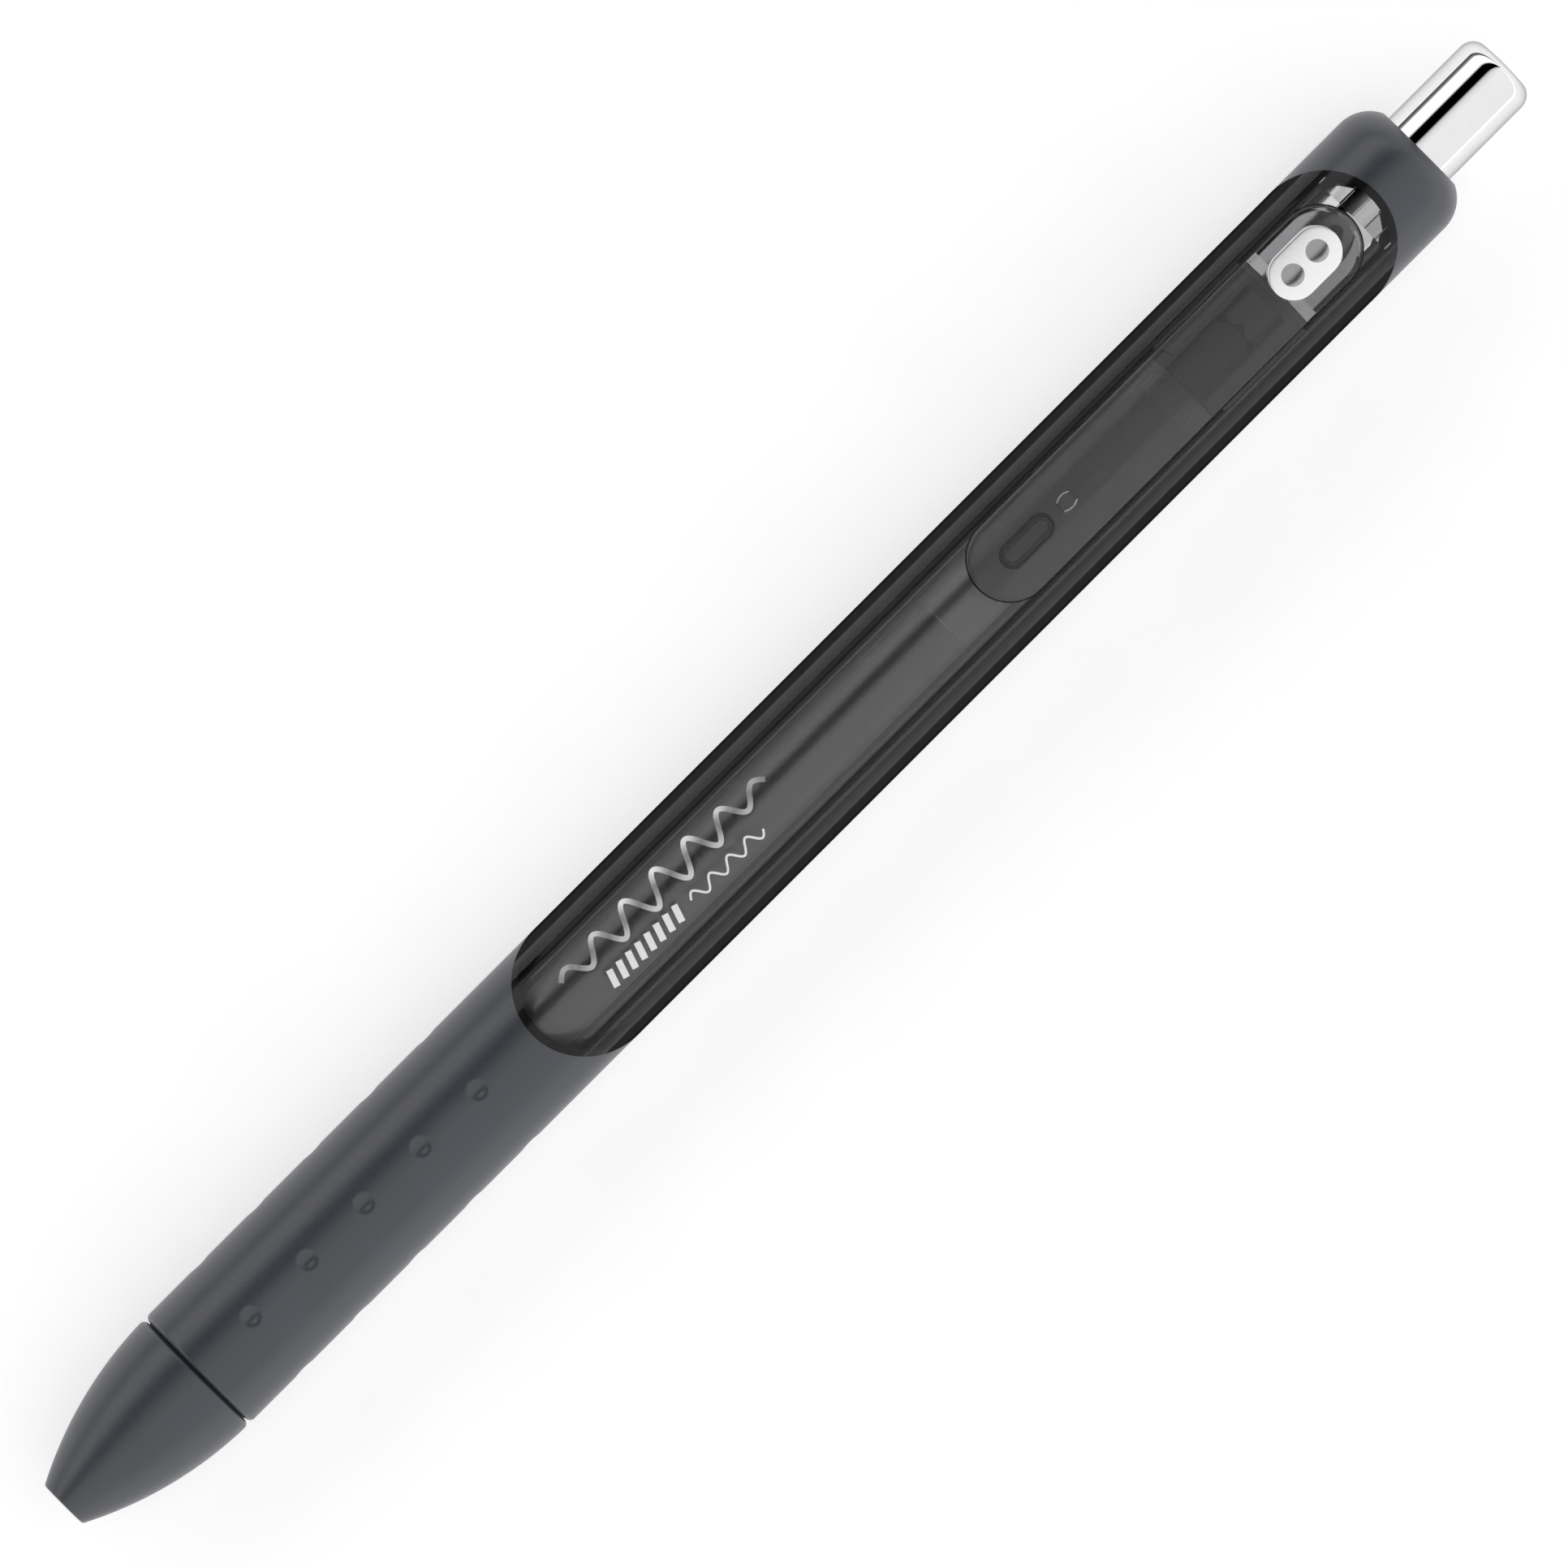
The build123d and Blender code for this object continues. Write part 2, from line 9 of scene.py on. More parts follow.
import bmesh
import bpy
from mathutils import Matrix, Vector


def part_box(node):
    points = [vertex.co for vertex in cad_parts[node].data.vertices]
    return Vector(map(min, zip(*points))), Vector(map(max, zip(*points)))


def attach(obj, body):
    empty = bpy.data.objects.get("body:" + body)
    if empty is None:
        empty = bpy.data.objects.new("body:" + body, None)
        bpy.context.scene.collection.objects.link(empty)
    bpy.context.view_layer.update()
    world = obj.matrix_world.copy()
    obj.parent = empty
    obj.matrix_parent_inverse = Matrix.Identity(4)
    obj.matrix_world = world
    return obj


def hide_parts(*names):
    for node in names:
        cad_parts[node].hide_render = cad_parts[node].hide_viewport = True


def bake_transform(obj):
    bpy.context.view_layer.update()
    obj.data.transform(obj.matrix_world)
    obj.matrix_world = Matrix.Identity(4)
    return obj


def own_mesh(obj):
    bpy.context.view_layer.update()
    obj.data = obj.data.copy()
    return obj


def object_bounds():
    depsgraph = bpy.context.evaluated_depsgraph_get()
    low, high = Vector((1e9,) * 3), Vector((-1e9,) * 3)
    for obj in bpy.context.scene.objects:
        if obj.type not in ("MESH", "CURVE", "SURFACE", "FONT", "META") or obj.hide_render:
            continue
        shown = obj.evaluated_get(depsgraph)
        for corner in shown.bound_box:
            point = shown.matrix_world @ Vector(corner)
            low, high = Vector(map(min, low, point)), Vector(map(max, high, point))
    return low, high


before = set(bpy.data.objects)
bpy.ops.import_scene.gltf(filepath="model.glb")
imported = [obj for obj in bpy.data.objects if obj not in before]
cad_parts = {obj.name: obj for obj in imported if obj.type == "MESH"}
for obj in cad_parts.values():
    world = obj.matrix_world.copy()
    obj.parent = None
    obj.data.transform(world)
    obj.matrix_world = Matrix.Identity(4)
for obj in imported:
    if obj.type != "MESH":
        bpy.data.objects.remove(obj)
cad_low, cad_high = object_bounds()

MM = 0.001

# Sizes read from the frame
LENGTH = (cad_high.x - cad_low.x) / MM
BODY_R = (cad_high.y - cad_low.y) / 2 / MM
AXIS_Z = BODY_R


def span(node):
    """First and last station of a CAD node."""
    low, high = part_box(node)
    return low.x / MM + LENGTH / 2, high.x / MM + LENGTH / 2


def reach(node):
    """Widest radius of a round CAD node."""
    low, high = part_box(node)
    return (high.y - low.y) / 2 / MM


NOSE_END_S = span("nose_skin")[1]
BARREL_START_S, BODY_END_S = span("barrel_jacket")
TUBE_START_S = span("barrel_tube")[0]
CAP_START_S = span("button_cap")[0]
BUTTON_R = reach("button_cap")
REFILL_START_S, REFILL_END_S = span("refill_tube")
REFILL_R = reach("refill_tube")
INK_START_S, INK_END_S = span("ink_column")
FOLLOWER_END_S = span("ink_follower")[1]
INK_R = reach("ink_column")
SPRING_START_S, SPRING_END_S = span("return_spring")
SPRING_R = reach("return_spring")
CLIP_TIP_S, CLIP_SPLIT_S = span("clip_arm")
CLIP_END_S = span("clip_root")[1]
CLIP_HALF_W = reach("clip_arm")
CLIP_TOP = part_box("clip_arm")[1].z / MM - AXIS_Z
BADGE_START_S, BADGE_END_S = span("clip_badge")
BADGE_HALF_W = reach("clip_badge")
BADGE_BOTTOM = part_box("clip_badge")[0].z / MM - AXIS_Z
BADGE_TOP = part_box("clip_badge")[1].z / MM - AXIS_Z

# Body
TUBE_R = 4.68
BORE_R = 3.5
SPIGOT_R = 3.75
SPIGOT_BORE_R = 3.2
SPIGOT_BORE_END_S = 16.0
THREAD_R = 3.9
THREAD_PITCH = 0.8
# The rubber turns in over the front shoulder of the clear barrel by this much.
SHOULDER_COVER = 0.3
# A low ring on the rubber's front face nearly closes the seam.
SEAL_L = 0.08
SHOULDER_S = 133.7
BODY_END_R = 3.6
MOUTH_R = 3.2
FACE_INSIDE_S = 135.8
BUSH_FACE_S = 134.4
BUSH_R = 4.45
EDGE_R = 0.45
# Rubber and clear plastic that are moulded together share a skin of this depth, so no air shows between them.
BOND = 0.02

# Window in the jacket, in side view
WINDOW_START_S = 47.24
WINDOW_END_S = 132.03
WINDOW_SLANT = 1.02
WINDOW_FLOOR = -0.6
WINDOW_TOP = 8.0
WINDOW_FILLET = 4.0
# Further out than this the pad's sides have a dark tinted coat, a painted shade which dims what they mirror.
SIDE_Y = 4.56
# Inside the clear pad the rubber reaches higher up the sides, as a thin lip.
LIP_FLOOR = 1.25
LIP_R = 5.0
# Below this height the rubber inside the barrel is painted plain black, a painted shade for the deep inside.
DARK_BELOW = -0.9

# Grip dimples
GRIP_END_S = 43.0
DIMPLE_FIRST_S = 18.95
DIMPLE_PITCH = 5.69
DIMPLES_IN_ROW = 5
DIMPLE_ROWS = 4
DIMPLE_R = 0.44
DIMPLE_LIP = 0.43
DIMPLE_DEPTH = 0.31

# Nose
NOSE_ARC_R = 29.5
NOSE_ARC_S = 13.7
NOSE_SKIN_T = 0.55
NOSE_FACE_EDGE_R = 0.25
NOSE_CORE_S = 0.6
TIP_HOLE_R = 1.3
TIP_HOLE_EDGE_R = 0.1

# Clip
CLIP_T = 1.35
CLIP_CROWN = 0.25
CLIP_EDGE_R = 0.3
PEDESTAL_START_S = 122.4
PEDESTAL_HALF_W = 2.65
# The foot reaches this far into the barrel's pad and into the clip, so no air shows between them.
FOOT_SINK = 0.03
BUMP_S = 96.9
BUMP_L = 4.9
BUMP_HALF_W = 1.0
BUMP_CLEAR = 0.1
# Side of the bump, and of the pocket in its underside, as (inset, share of the bump's height)
BUMP_SIDE = ((0.36, 0), (0.28, 0.02), (0.24, 0.1), (0.1, 0.85), (0.05, 0.93), (0, 0.96), (0, 1))
POCKET_SIDE = ((0.46, -0.1), (0.47, 0), (0.54, 0.9))
# Small sunk mark on top of the clip, shaped as a barrel seen from the side. Its own side is given as pairs of
# (inset, height over the clip's top).
MARK_S = 100.9
MARK_HALF_L = 0.84
MARK_HALF_W = 0.68
MARK_BULGE = 0.12
MARK_SIDE = ((-0.05, 0.02), (0.1, -0.09), (0.2, -0.24))
# Notch in each edge of the clip, beside the mark
NOTCH_R = 0.35
NOTCH_OUT = 0.22

# Badge dishes
DISH_R = 0.85
DISH_DEPTH = 0.28
DISH_SPACING = 2.45

# Button
CAP_EDGE_L = 1.3
CAP_EDGE_DROP = 1.18
CAP_DOME = 0.1
CAP_BORE_R = 2.5
CAP_TOP_T = 1.3

# Points round a turned piece
ROUND = 256

# Two lengths closer than this are the same
TINY = 0.000001

# Polished plastic: its roughness, and the depth in metres of the waves in its surface
POLISH = 0.01
WAVE = 0.0000001


def spot(station, y, height):
    """Point of the row frame, in metres."""
    return Vector(((station - LENGTH / 2) * MM, y * MM, (AXIS_Z + height) * MM))


def even_angles(count):
    """Angles around the pen, evenly spaced, in radians."""
    return [2 * math.pi * k / count for k in range(count)]


def rounded(corners, step=10):
    """Closed outline from corners (x, y, radius), with each corner turned into an arc of its radius."""
    points = []
    for i, (x, y, radius) in enumerate(corners):
        here = Vector((x, y))
        if radius == 0:
            points.append(here)
            continue
        back = (Vector(corners[i - 1][:2]) - here).normalized()
        ahead = (Vector(corners[(i + 1) % len(corners)][:2]) - here).normalized()
        half = back.angle(ahead) / 2
        centre = here + (back + ahead).normalized() * radius / math.sin(half)
        first = here + back * radius / math.tan(half) - centre
        last = here + ahead * radius / math.tan(half) - centre
        turn = math.pi - 2 * half
        count = max(2, math.ceil(turn / math.radians(step)))
        for k in range(count + 1):
            t = k / count
            arm = first * math.sin((1 - t) * turn) + last * math.sin(t * turn)
            points.append(centre + arm / math.sin(turn))
    return [(p.x, p.y) for p in points]


def finished(name, mesh, crease=30):
    """Object from a bmesh, smooth except across creases sharper than that angle."""
    bmesh.ops.recalc_face_normals(mesh, faces=mesh.faces)
    data = bpy.data.meshes.new(name)
    mesh.to_mesh(data)
    mesh.free()
    data.shade_smooth()
    data.set_sharp_from_angle(angle=math.radians(crease))
    obj = bpy.data.objects.new(name, data)
    bpy.context.scene.collection.objects.link(obj)
    return obj


def bridge(mesh, rings, closed=False):
    """Faces between neighbouring rings of vertices; a ring of one vertex is a point."""
    pairs = list(zip(rings, rings[1:]))
    if closed:
        pairs.append((rings[-1], rings[0]))
    for a, b in pairs:
        count = max(len(a), len(b))
        for k in range(count):
            corners = []
            for vertex in (a[k % len(a)], a[(k + 1) % len(a)], b[(k + 1) % len(b)], b[k % len(b)]):
                if vertex not in corners:
                    corners.append(vertex)
            if len(corners) > 2:
                mesh.faces.new(corners)


def lathe(name, outline, angles=None, dent=None, crease=30):
    """Turned piece: a closed outline of (station, radius) points, turned around the pen's axis."""
    mesh = bmesh.new()
    rings = []
    for station, radius in outline:
        if radius < TINY:
            rings.append([mesh.verts.new(spot(station, 0, 0))])
            continue
        ring = []
        for angle in angles or even_angles(ROUND):
            r = radius - (dent(station, radius, angle) if dent else 0)
            ring.append(mesh.verts.new(spot(station, r * math.cos(angle), r * math.sin(angle))))
        rings.append(ring)
    bridge(mesh, rings, closed=True)
    return finished(name, mesh, crease)


def stack(name, rings, crease=30):
    """Solid from rings of points one above the other, closed by a flat face at each end."""
    mesh = bmesh.new()
    made = [[mesh.verts.new(spot(*point)) for point in ring] for ring in rings]
    bridge(mesh, made)
    mesh.faces.new(made[0])
    mesh.faces.new(made[-1])
    return finished(name, mesh, crease)


def cut(obj, tool, operation="DIFFERENCE", crease=30):
    """Applies a boolean with another piece, which is used up."""
    boolean = obj.modifiers.new("cut", "BOOLEAN")
    boolean.operation = operation
    boolean.object = tool
    boolean.solver = "EXACT"
    graph = bpy.context.evaluated_depsgraph_get()
    old = obj.data
    obj.data = bpy.data.meshes.new_from_object(obj.evaluated_get(graph))
    obj.modifiers.clear()
    bpy.data.meshes.remove(old)
    bpy.data.objects.remove(tool)
    obj.data.name = obj.name
    obj.data.shade_smooth()
    obj.data.set_sharp_from_angle(angle=math.radians(crease))
    return obj


def stadium(start_s, end_s, half_w, side_step=0.5, round_count=32):
    """Stadium outline as (station, y) points. A narrower one of the same ends has as many points."""
    near, far = start_s + half_w, end_s - half_w
    count = max(1, round((far - near) / side_step))
    points = []
    for k in range(round_count + 1):
        angle = math.pi * (k / round_count - 0.5)
        points.append((far + half_w * math.cos(angle), half_w * math.sin(angle)))
    for k in range(1, count):
        points.append((far + (near - far) * k / count, half_w))
    for k in range(round_count + 1):
        angle = math.pi * (k / round_count + 0.5)
        points.append((near + half_w * math.cos(angle), half_w * math.sin(angle)))
    for k in range(1, count):
        points.append((near + (far - near) * k / count, -half_w))
    return points


def inset_stadium(start_s, end_s, half_w, inset):
    """The same stadium drawn in by an inset, point for point."""
    return stadium(start_s + inset, end_s - inset, half_w - inset)


def crown(y, top):
    """Height of the clip's crowned top at y."""
    return top - CLIP_CROWN * (y / CLIP_HALF_W) ** 2


def plate_rings(start_s, end_s, half_w, bottom, top, edge_r, bottom_edge_r):
    """Rings of a crowned plate with rounded edges, from its bottom to its top."""
    rings = []
    for degrees in range(90, -1, -15):
        a = math.radians(degrees)
        inset = bottom_edge_r * (1 - math.cos(a))
        height = bottom + bottom_edge_r * (1 - math.sin(a))
        rings.append([(s, y, height) for s, y in inset_stadium(start_s, end_s, half_w, inset)])
    for degrees in range(0, 91, 15):
        a = math.radians(degrees)
        inset = edge_r * (1 - math.cos(a))
        drop = edge_r * (1 - math.sin(a))
        rings.append([(s, y, crown(y, top) - drop) for s, y in inset_stadium(start_s, end_s, half_w, inset)])
    levels = 8
    last_half_w = 0.04
    for level in range(1, levels + 1):
        inset = edge_r + (half_w - last_half_w - edge_r) * level / levels
        rings.append([(s, y, crown(y, top)) for s, y in inset_stadium(start_s, end_s, half_w, inset)])
    return rings


# ---------------------------------------------------------------- materials


def material(name):
    """New node material: (material, nodes, links, its Principled shader)."""
    made = bpy.data.materials.new(name)
    made.use_nodes = True
    tree = made.node_tree
    return made, tree.nodes, tree.links, tree.nodes["Principled BSDF"]


def noise(nodes, links, size, detail=3.0, stretch=(1, 1, 1)):
    """Noise with features of about that size in metres, in the object's own coordinates."""
    place = nodes.new("ShaderNodeTexCoord")
    mapping = nodes.new("ShaderNodeMapping")
    mapping.inputs["Scale"].default_value = stretch
    links.new(place.outputs["Object"], mapping.inputs["Vector"])
    texture = nodes.new("ShaderNodeTexNoise")
    texture.inputs["Scale"].default_value = 1 / size
    texture.inputs["Detail"].default_value = detail
    links.new(mapping.outputs["Vector"], texture.inputs["Vector"])
    return texture.outputs["Fac"]


def spread(nodes, links, value, low, high):
    """Maps the middle of a noise onto the range low to high."""
    remap = nodes.new("ShaderNodeMapRange")
    remap.inputs["From Min"].default_value = 0.3
    remap.inputs["From Max"].default_value = 0.7
    remap.inputs["To Min"].default_value = low
    remap.inputs["To Max"].default_value = high
    links.new(value, remap.inputs["Value"])
    return remap.outputs["Result"]


def blend_colours(nodes, links, value, first, second):
    """Colour between two, by a noise."""
    ramp = nodes.new("ShaderNodeValToRGB")
    ramp.color_ramp.elements[0].position = 0.3
    ramp.color_ramp.elements[0].color = (*first, 1)
    ramp.color_ramp.elements[1].position = 0.7
    ramp.color_ramp.elements[1].color = (*second, 1)
    links.new(value, ramp.inputs["Fac"])
    return ramp.outputs["Color"]


def bumped(nodes, links, shader, value, depth):
    """Raises a shader's surface by a noise, by that depth in metres."""
    bump = nodes.new("ShaderNodeBump")
    bump.inputs["Strength"].default_value = 1.0
    bump.inputs["Distance"].default_value = depth
    links.new(value, bump.inputs["Height"])
    links.new(bump.outputs["Normal"], shader.inputs["Normal"])


def shade(grey, tint=(1.0, 1.0, 1.0)):
    """Linear colour from a grey and a tint."""
    return tuple(grey * t for t in tint)


def rubber():
    """Dark blue-grey soft rubber with a fine matt grain."""
    made, nodes, links, shader = material("soft_rubber")
    grain = noise(nodes, links, size=0.00022, detail=4)
    cloud = noise(nodes, links, size=0.006, detail=3)
    tint = (0.8, 0.94, 1.2)
    colour = blend_colours(nodes, links, cloud, shade(0.03, tint), shade(0.034, tint))
    links.new(colour, shader.inputs["Base Color"])
    links.new(spread(nodes, links, grain, 0.33, 0.4), shader.inputs["Roughness"])
    shader.inputs["Specular IOR Level"].default_value = 0.9
    shader.inputs["Specular Tint"].default_value = (0.97, 0.95, 1.0, 1)
    shader.inputs["Sheen Weight"].default_value = 0.06
    shader.inputs["Sheen Roughness"].default_value = 0.35
    bumped(nodes, links, shader, grain, 0.000006)
    return made


def clear_plastic(name, through, thickness, gloss, skin=1.0):
    """Polished smoke plastic.

    A wall of that thickness, in mm, lets the share called through pass. Gloss is the strength of what the
    surface mirrors face on, and skin is the share that a dark tinted coat lets through, a painted shade.
    """
    made, nodes, links, shader = material(name)
    flow = noise(nodes, links, size=0.004, detail=2, stretch=(0.25, 1, 1))
    haze = noise(nodes, links, size=0.0006, detail=3)
    links.new(blend_colours(nodes, links, flow, shade(0.97), shade(1.0)), shader.inputs["Base Color"])
    links.new(spread(nodes, links, haze, POLISH * 0.7, POLISH * 1.3), shader.inputs["Roughness"])
    shader.inputs["IOR"].default_value = 1.5
    shader.inputs["Specular Tint"].default_value = (gloss, gloss, gloss, 1)
    shader.inputs["Transmission Weight"].default_value = 1.0
    bumped(nodes, links, shader, flow, WAVE)
    smoke = nodes.new("ShaderNodeVolumeAbsorption")
    smoke.inputs["Color"].default_value = (0.0, 0.0, 0.02, 1)
    smoke.inputs["Density"].default_value = -math.log(through) / (thickness * MM)
    links.new(smoke.outputs["Volume"], nodes["Material Output"].inputs["Volume"])
    # A skin below 1 is painted shade: a dark coat tint over the whole surface.
    if skin < 1:
        shader.inputs["Coat Weight"].default_value = 1.0
        shader.inputs["Coat IOR"].default_value = 1.0
        shader.inputs["Coat Tint"].default_value = (skin, skin, skin, 1)
    return made


def milky_plastic(name, colour, through, roughness):
    """Natural refill plastic: partly clear, partly milky."""
    made, nodes, links, shader = material(name)
    flow = noise(nodes, links, size=0.003, detail=3, stretch=(0.2, 1, 1))
    second = tuple(c * 0.92 for c in colour)
    links.new(blend_colours(nodes, links, flow, colour, second), shader.inputs["Base Color"])
    links.new(spread(nodes, links, flow, roughness * 0.8, roughness * 1.2), shader.inputs["Roughness"])
    shader.inputs["IOR"].default_value = 1.5
    shader.inputs["Transmission Weight"].default_value = through
    bumped(nodes, links, shader, flow, 0.000002)
    return made


def metal(name, colour, roughness, brushed=(1, 1, 1), grain=0.0004, depth=0.0000006, vary=0.96):
    """Metal with a fine grain, which can be drawn out along one way."""
    made, nodes, links, shader = material(name)
    fine = noise(nodes, links, size=grain, detail=4, stretch=brushed)
    second = tuple(c * vary for c in colour)
    links.new(blend_colours(nodes, links, fine, colour, second), shader.inputs["Base Color"])
    links.new(spread(nodes, links, fine, roughness * 0.75, roughness * 1.25), shader.inputs["Roughness"])
    shader.inputs["Metallic"].default_value = 1.0
    shader.inputs["Specular Tint"].default_value = (0.5, 0.5, 0.5, 1)
    bumped(nodes, links, shader, fine, depth)
    return made


def plain_plastic(name, colour, roughness):
    """Solid moulded plastic with a slight spark-eroded texture."""
    made, nodes, links, shader = material(name)
    grain = noise(nodes, links, size=0.0003, detail=4)
    second = tuple(c * 0.9 for c in colour)
    links.new(blend_colours(nodes, links, grain, colour, second), shader.inputs["Base Color"])
    links.new(spread(nodes, links, grain, roughness * 0.85, roughness * 1.15), shader.inputs["Roughness"])
    bumped(nodes, links, shader, grain, 0.000001)
    return made


def wet_ink():
    """Black gel ink against the wall of its tube."""
    made, nodes, links, shader = material("gel_ink")
    swirl = noise(nodes, links, size=0.003, detail=3, stretch=(0.3, 1, 1))
    links.new(blend_colours(nodes, links, swirl, shade(0.012), shade(0.018)), shader.inputs["Base Color"])
    links.new(spread(nodes, links, swirl, 0.25, 0.4), shader.inputs["Roughness"])
    bumped(nodes, links, shader, swirl, 0.000003)
    return made


def print_paint(name, colour, metallic, roughness):
    """Printed ink with a slightly uneven lay."""
    made, nodes, links, shader = material(name)
    lay = noise(nodes, links, size=0.0002, detail=3)
    second = tuple(c * 0.93 for c in colour)
    links.new(blend_colours(nodes, links, lay, colour, second), shader.inputs["Base Color"])
    links.new(spread(nodes, links, lay, roughness * 0.8, roughness * 1.2), shader.inputs["Roughness"])
    shader.inputs["Metallic"].default_value = metallic
    bumped(nodes, links, shader, lay, 0.000002)
    return made


def dress(obj, surface):
    """Gives a piece one material."""
    obj.data.materials.clear()
    obj.data.materials.append(surface)
    return obj


# ---------------------------------------------------------------- pieces


def window_prism(grow=0.0, floor=WINDOW_FLOOR):
    """Solid that cuts the window, seen from the side, grown by a margin."""
    top_shift = (WINDOW_TOP - BODY_R) * WINDOW_SLANT
    floor_shift = (BODY_R - floor) * WINDOW_SLANT
    outline = rounded(
        [
            (WINDOW_START_S - top_shift - grow, WINDOW_TOP, 0),
            (WINDOW_START_S + floor_shift - grow, floor - grow, WINDOW_FILLET),
            (WINDOW_END_S - floor_shift + grow, floor - grow, WINDOW_FILLET),
            (WINDOW_END_S + top_shift + grow, WINDOW_TOP, 0),
        ],
        step=3,
    )
    overhang = 1.5
    side = BODY_R + overhang
    return stack("window_prism", [[(s, -side, h) for s, h in outline], [(s, side, h) for s, h in outline]])


def fine_stops(first, last, centres, half, fine, coarse):
    """Values from first to last, close together within half of each centre and further apart elsewhere."""
    stops = [first]
    while stops[-1] < last - TINY:
        here = stops[-1]
        near = [c for c in centres if c - half - TINY <= here < c + half - TINY]
        ahead = [c - half for c in centres if c - half > here + TINY]
        step = fine if near else coarse
        limit = min(ahead + [last])
        stops.append(min(here + step, limit))
    return stops


def dimple_dent(station, radius, angle):
    """Depth of the grip dimples at a place on the outside of the jacket."""
    if radius < BODY_R - 0.01 or station > DIMPLE_FIRST_S + DIMPLES_IN_ROW * DIMPLE_PITCH:
        return 0
    quarter = 2 * math.pi / DIMPLE_ROWS
    aside = ((angle + quarter / 2) % quarter - quarter / 2) * BODY_R
    place = round((station - DIMPLE_FIRST_S) / DIMPLE_PITCH)
    place = max(0, min(DIMPLES_IN_ROW - 1, place))
    along = station - DIMPLE_FIRST_S - place * DIMPLE_PITCH
    away = math.hypot(along, aside)
    if away >= DIMPLE_R + DIMPLE_LIP:
        return 0
    t = max(0, (away - DIMPLE_R + DIMPLE_LIP) / (2 * DIMPLE_LIP))
    return DIMPLE_DEPTH * (1 - t * t * (3 - 2 * t))


def jacket():
    """Rubber jacket with soft dimples, a rounded shoulder and the window."""
    turn_r = BODY_R - BODY_END_R
    mouth_edge = 0.12
    fine, coarse, coarse_angle = 0.06, 6.0, 0.04
    centres = [DIMPLE_FIRST_S + k * DIMPLE_PITCH for k in range(DIMPLES_IN_ROW)]
    patch = DIMPLE_R + DIMPLE_LIP + 0.1
    outside = [(BARREL_START_S, BODY_R - EDGE_R)]
    for degrees in range(10, 90, 10):
        a = math.radians(degrees)
        outside.append((BARREL_START_S + EDGE_R * (1 - math.cos(a)), BODY_R - EDGE_R * (1 - math.sin(a))))
    for station in fine_stops(BARREL_START_S + EDGE_R, SHOULDER_S, centres, patch, fine, coarse):
        outside.append((station, BODY_R))
    shoulder_l = BODY_END_S - SHOULDER_S
    arc_r = (turn_r**2 + shoulder_l**2) / (2 * turn_r)
    sweep = math.asin(shoulder_l / arc_r)
    steps = 24
    for k in range(1, steps + 1):
        a = sweep * k / steps
        outside.append((SHOULDER_S + arc_r * math.sin(a), BODY_R - arc_r * (1 - math.cos(a))))
    inside = [
        (BODY_END_S, MOUTH_R + mouth_edge),
        (BODY_END_S - mouth_edge / 3, MOUTH_R + mouth_edge / 4),
        (BODY_END_S - mouth_edge, MOUTH_R),
        (FACE_INSIDE_S, MOUTH_R),
        (FACE_INSIDE_S, BODY_END_R),
        (BUSH_FACE_S, BUSH_R),
        (BUSH_FACE_S, TUBE_R),
        (BARREL_START_S + SHOULDER_COVER, TUBE_R),
        (BARREL_START_S + SHOULDER_COVER, THREAD_R + BOND),
        (BARREL_START_S - SEAL_L, THREAD_R + BOND),
        (BARREL_START_S - SEAL_L, BODY_R - EDGE_R - 0.1),
        (BARREL_START_S, BODY_R - EDGE_R - 0.05),
    ]
    quarter = 2 * math.pi / DIMPLE_ROWS
    rows = [quarter * k for k in range(DIMPLE_ROWS)]
    half = patch / BODY_R
    angles = fine_stops(-half, 2 * math.pi - half, rows, half, fine / BODY_R, coarse_angle)[:-1]
    made = lathe("jacket", outside + inside, angles, dimple_dent)
    cut(made, window_prism())
    lip_start_s, lip_end_s, lip_inside_r = WINDOW_START_S - 2, WINDOW_END_S + 0.5, TUBE_R + 0.001
    lip = lathe(
        "lip",
        [
            (lip_start_s, lip_inside_r),
            (lip_start_s, LIP_R),
            (lip_end_s, LIP_R),
            (lip_end_s, lip_inside_r),
        ],
    )
    cut(lip, window_prism(0, LIP_FLOOR))
    cut(made, lip, "UNION")
    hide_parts("barrel_jacket")
    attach(made, "barrel")
    dress(made, rubber_look)
    made.data.materials.append(shade_black_look)
    made.data.materials.append(lit_wall_look)
    for face in made.data.polygons:
        height = face.center.z / MM - AXIS_Z
        station = face.center.x / MM + LENGTH / 2
        radius = math.hypot(face.center.y / MM, height)
        if radius > BODY_R - 0.03 or not GRIP_END_S < station < SHOULDER_S:
            continue
        # Painted shade: the window's ledge, its slanted ends and the lower inside are painted black. Painted
        # light: the rest of the wall round the tube is a pale blue-grey, lighter than the rubber, as if lit.
        ledge = face.normal.z > 0.9 and height < WINDOW_FLOOR + 0.05
        if ledge or abs(face.normal.x) > 0.3 or height < DARK_BELOW:
            face.material_index = 1
        elif radius < TUBE_R + 0.01:
            face.material_index = 2
    return made


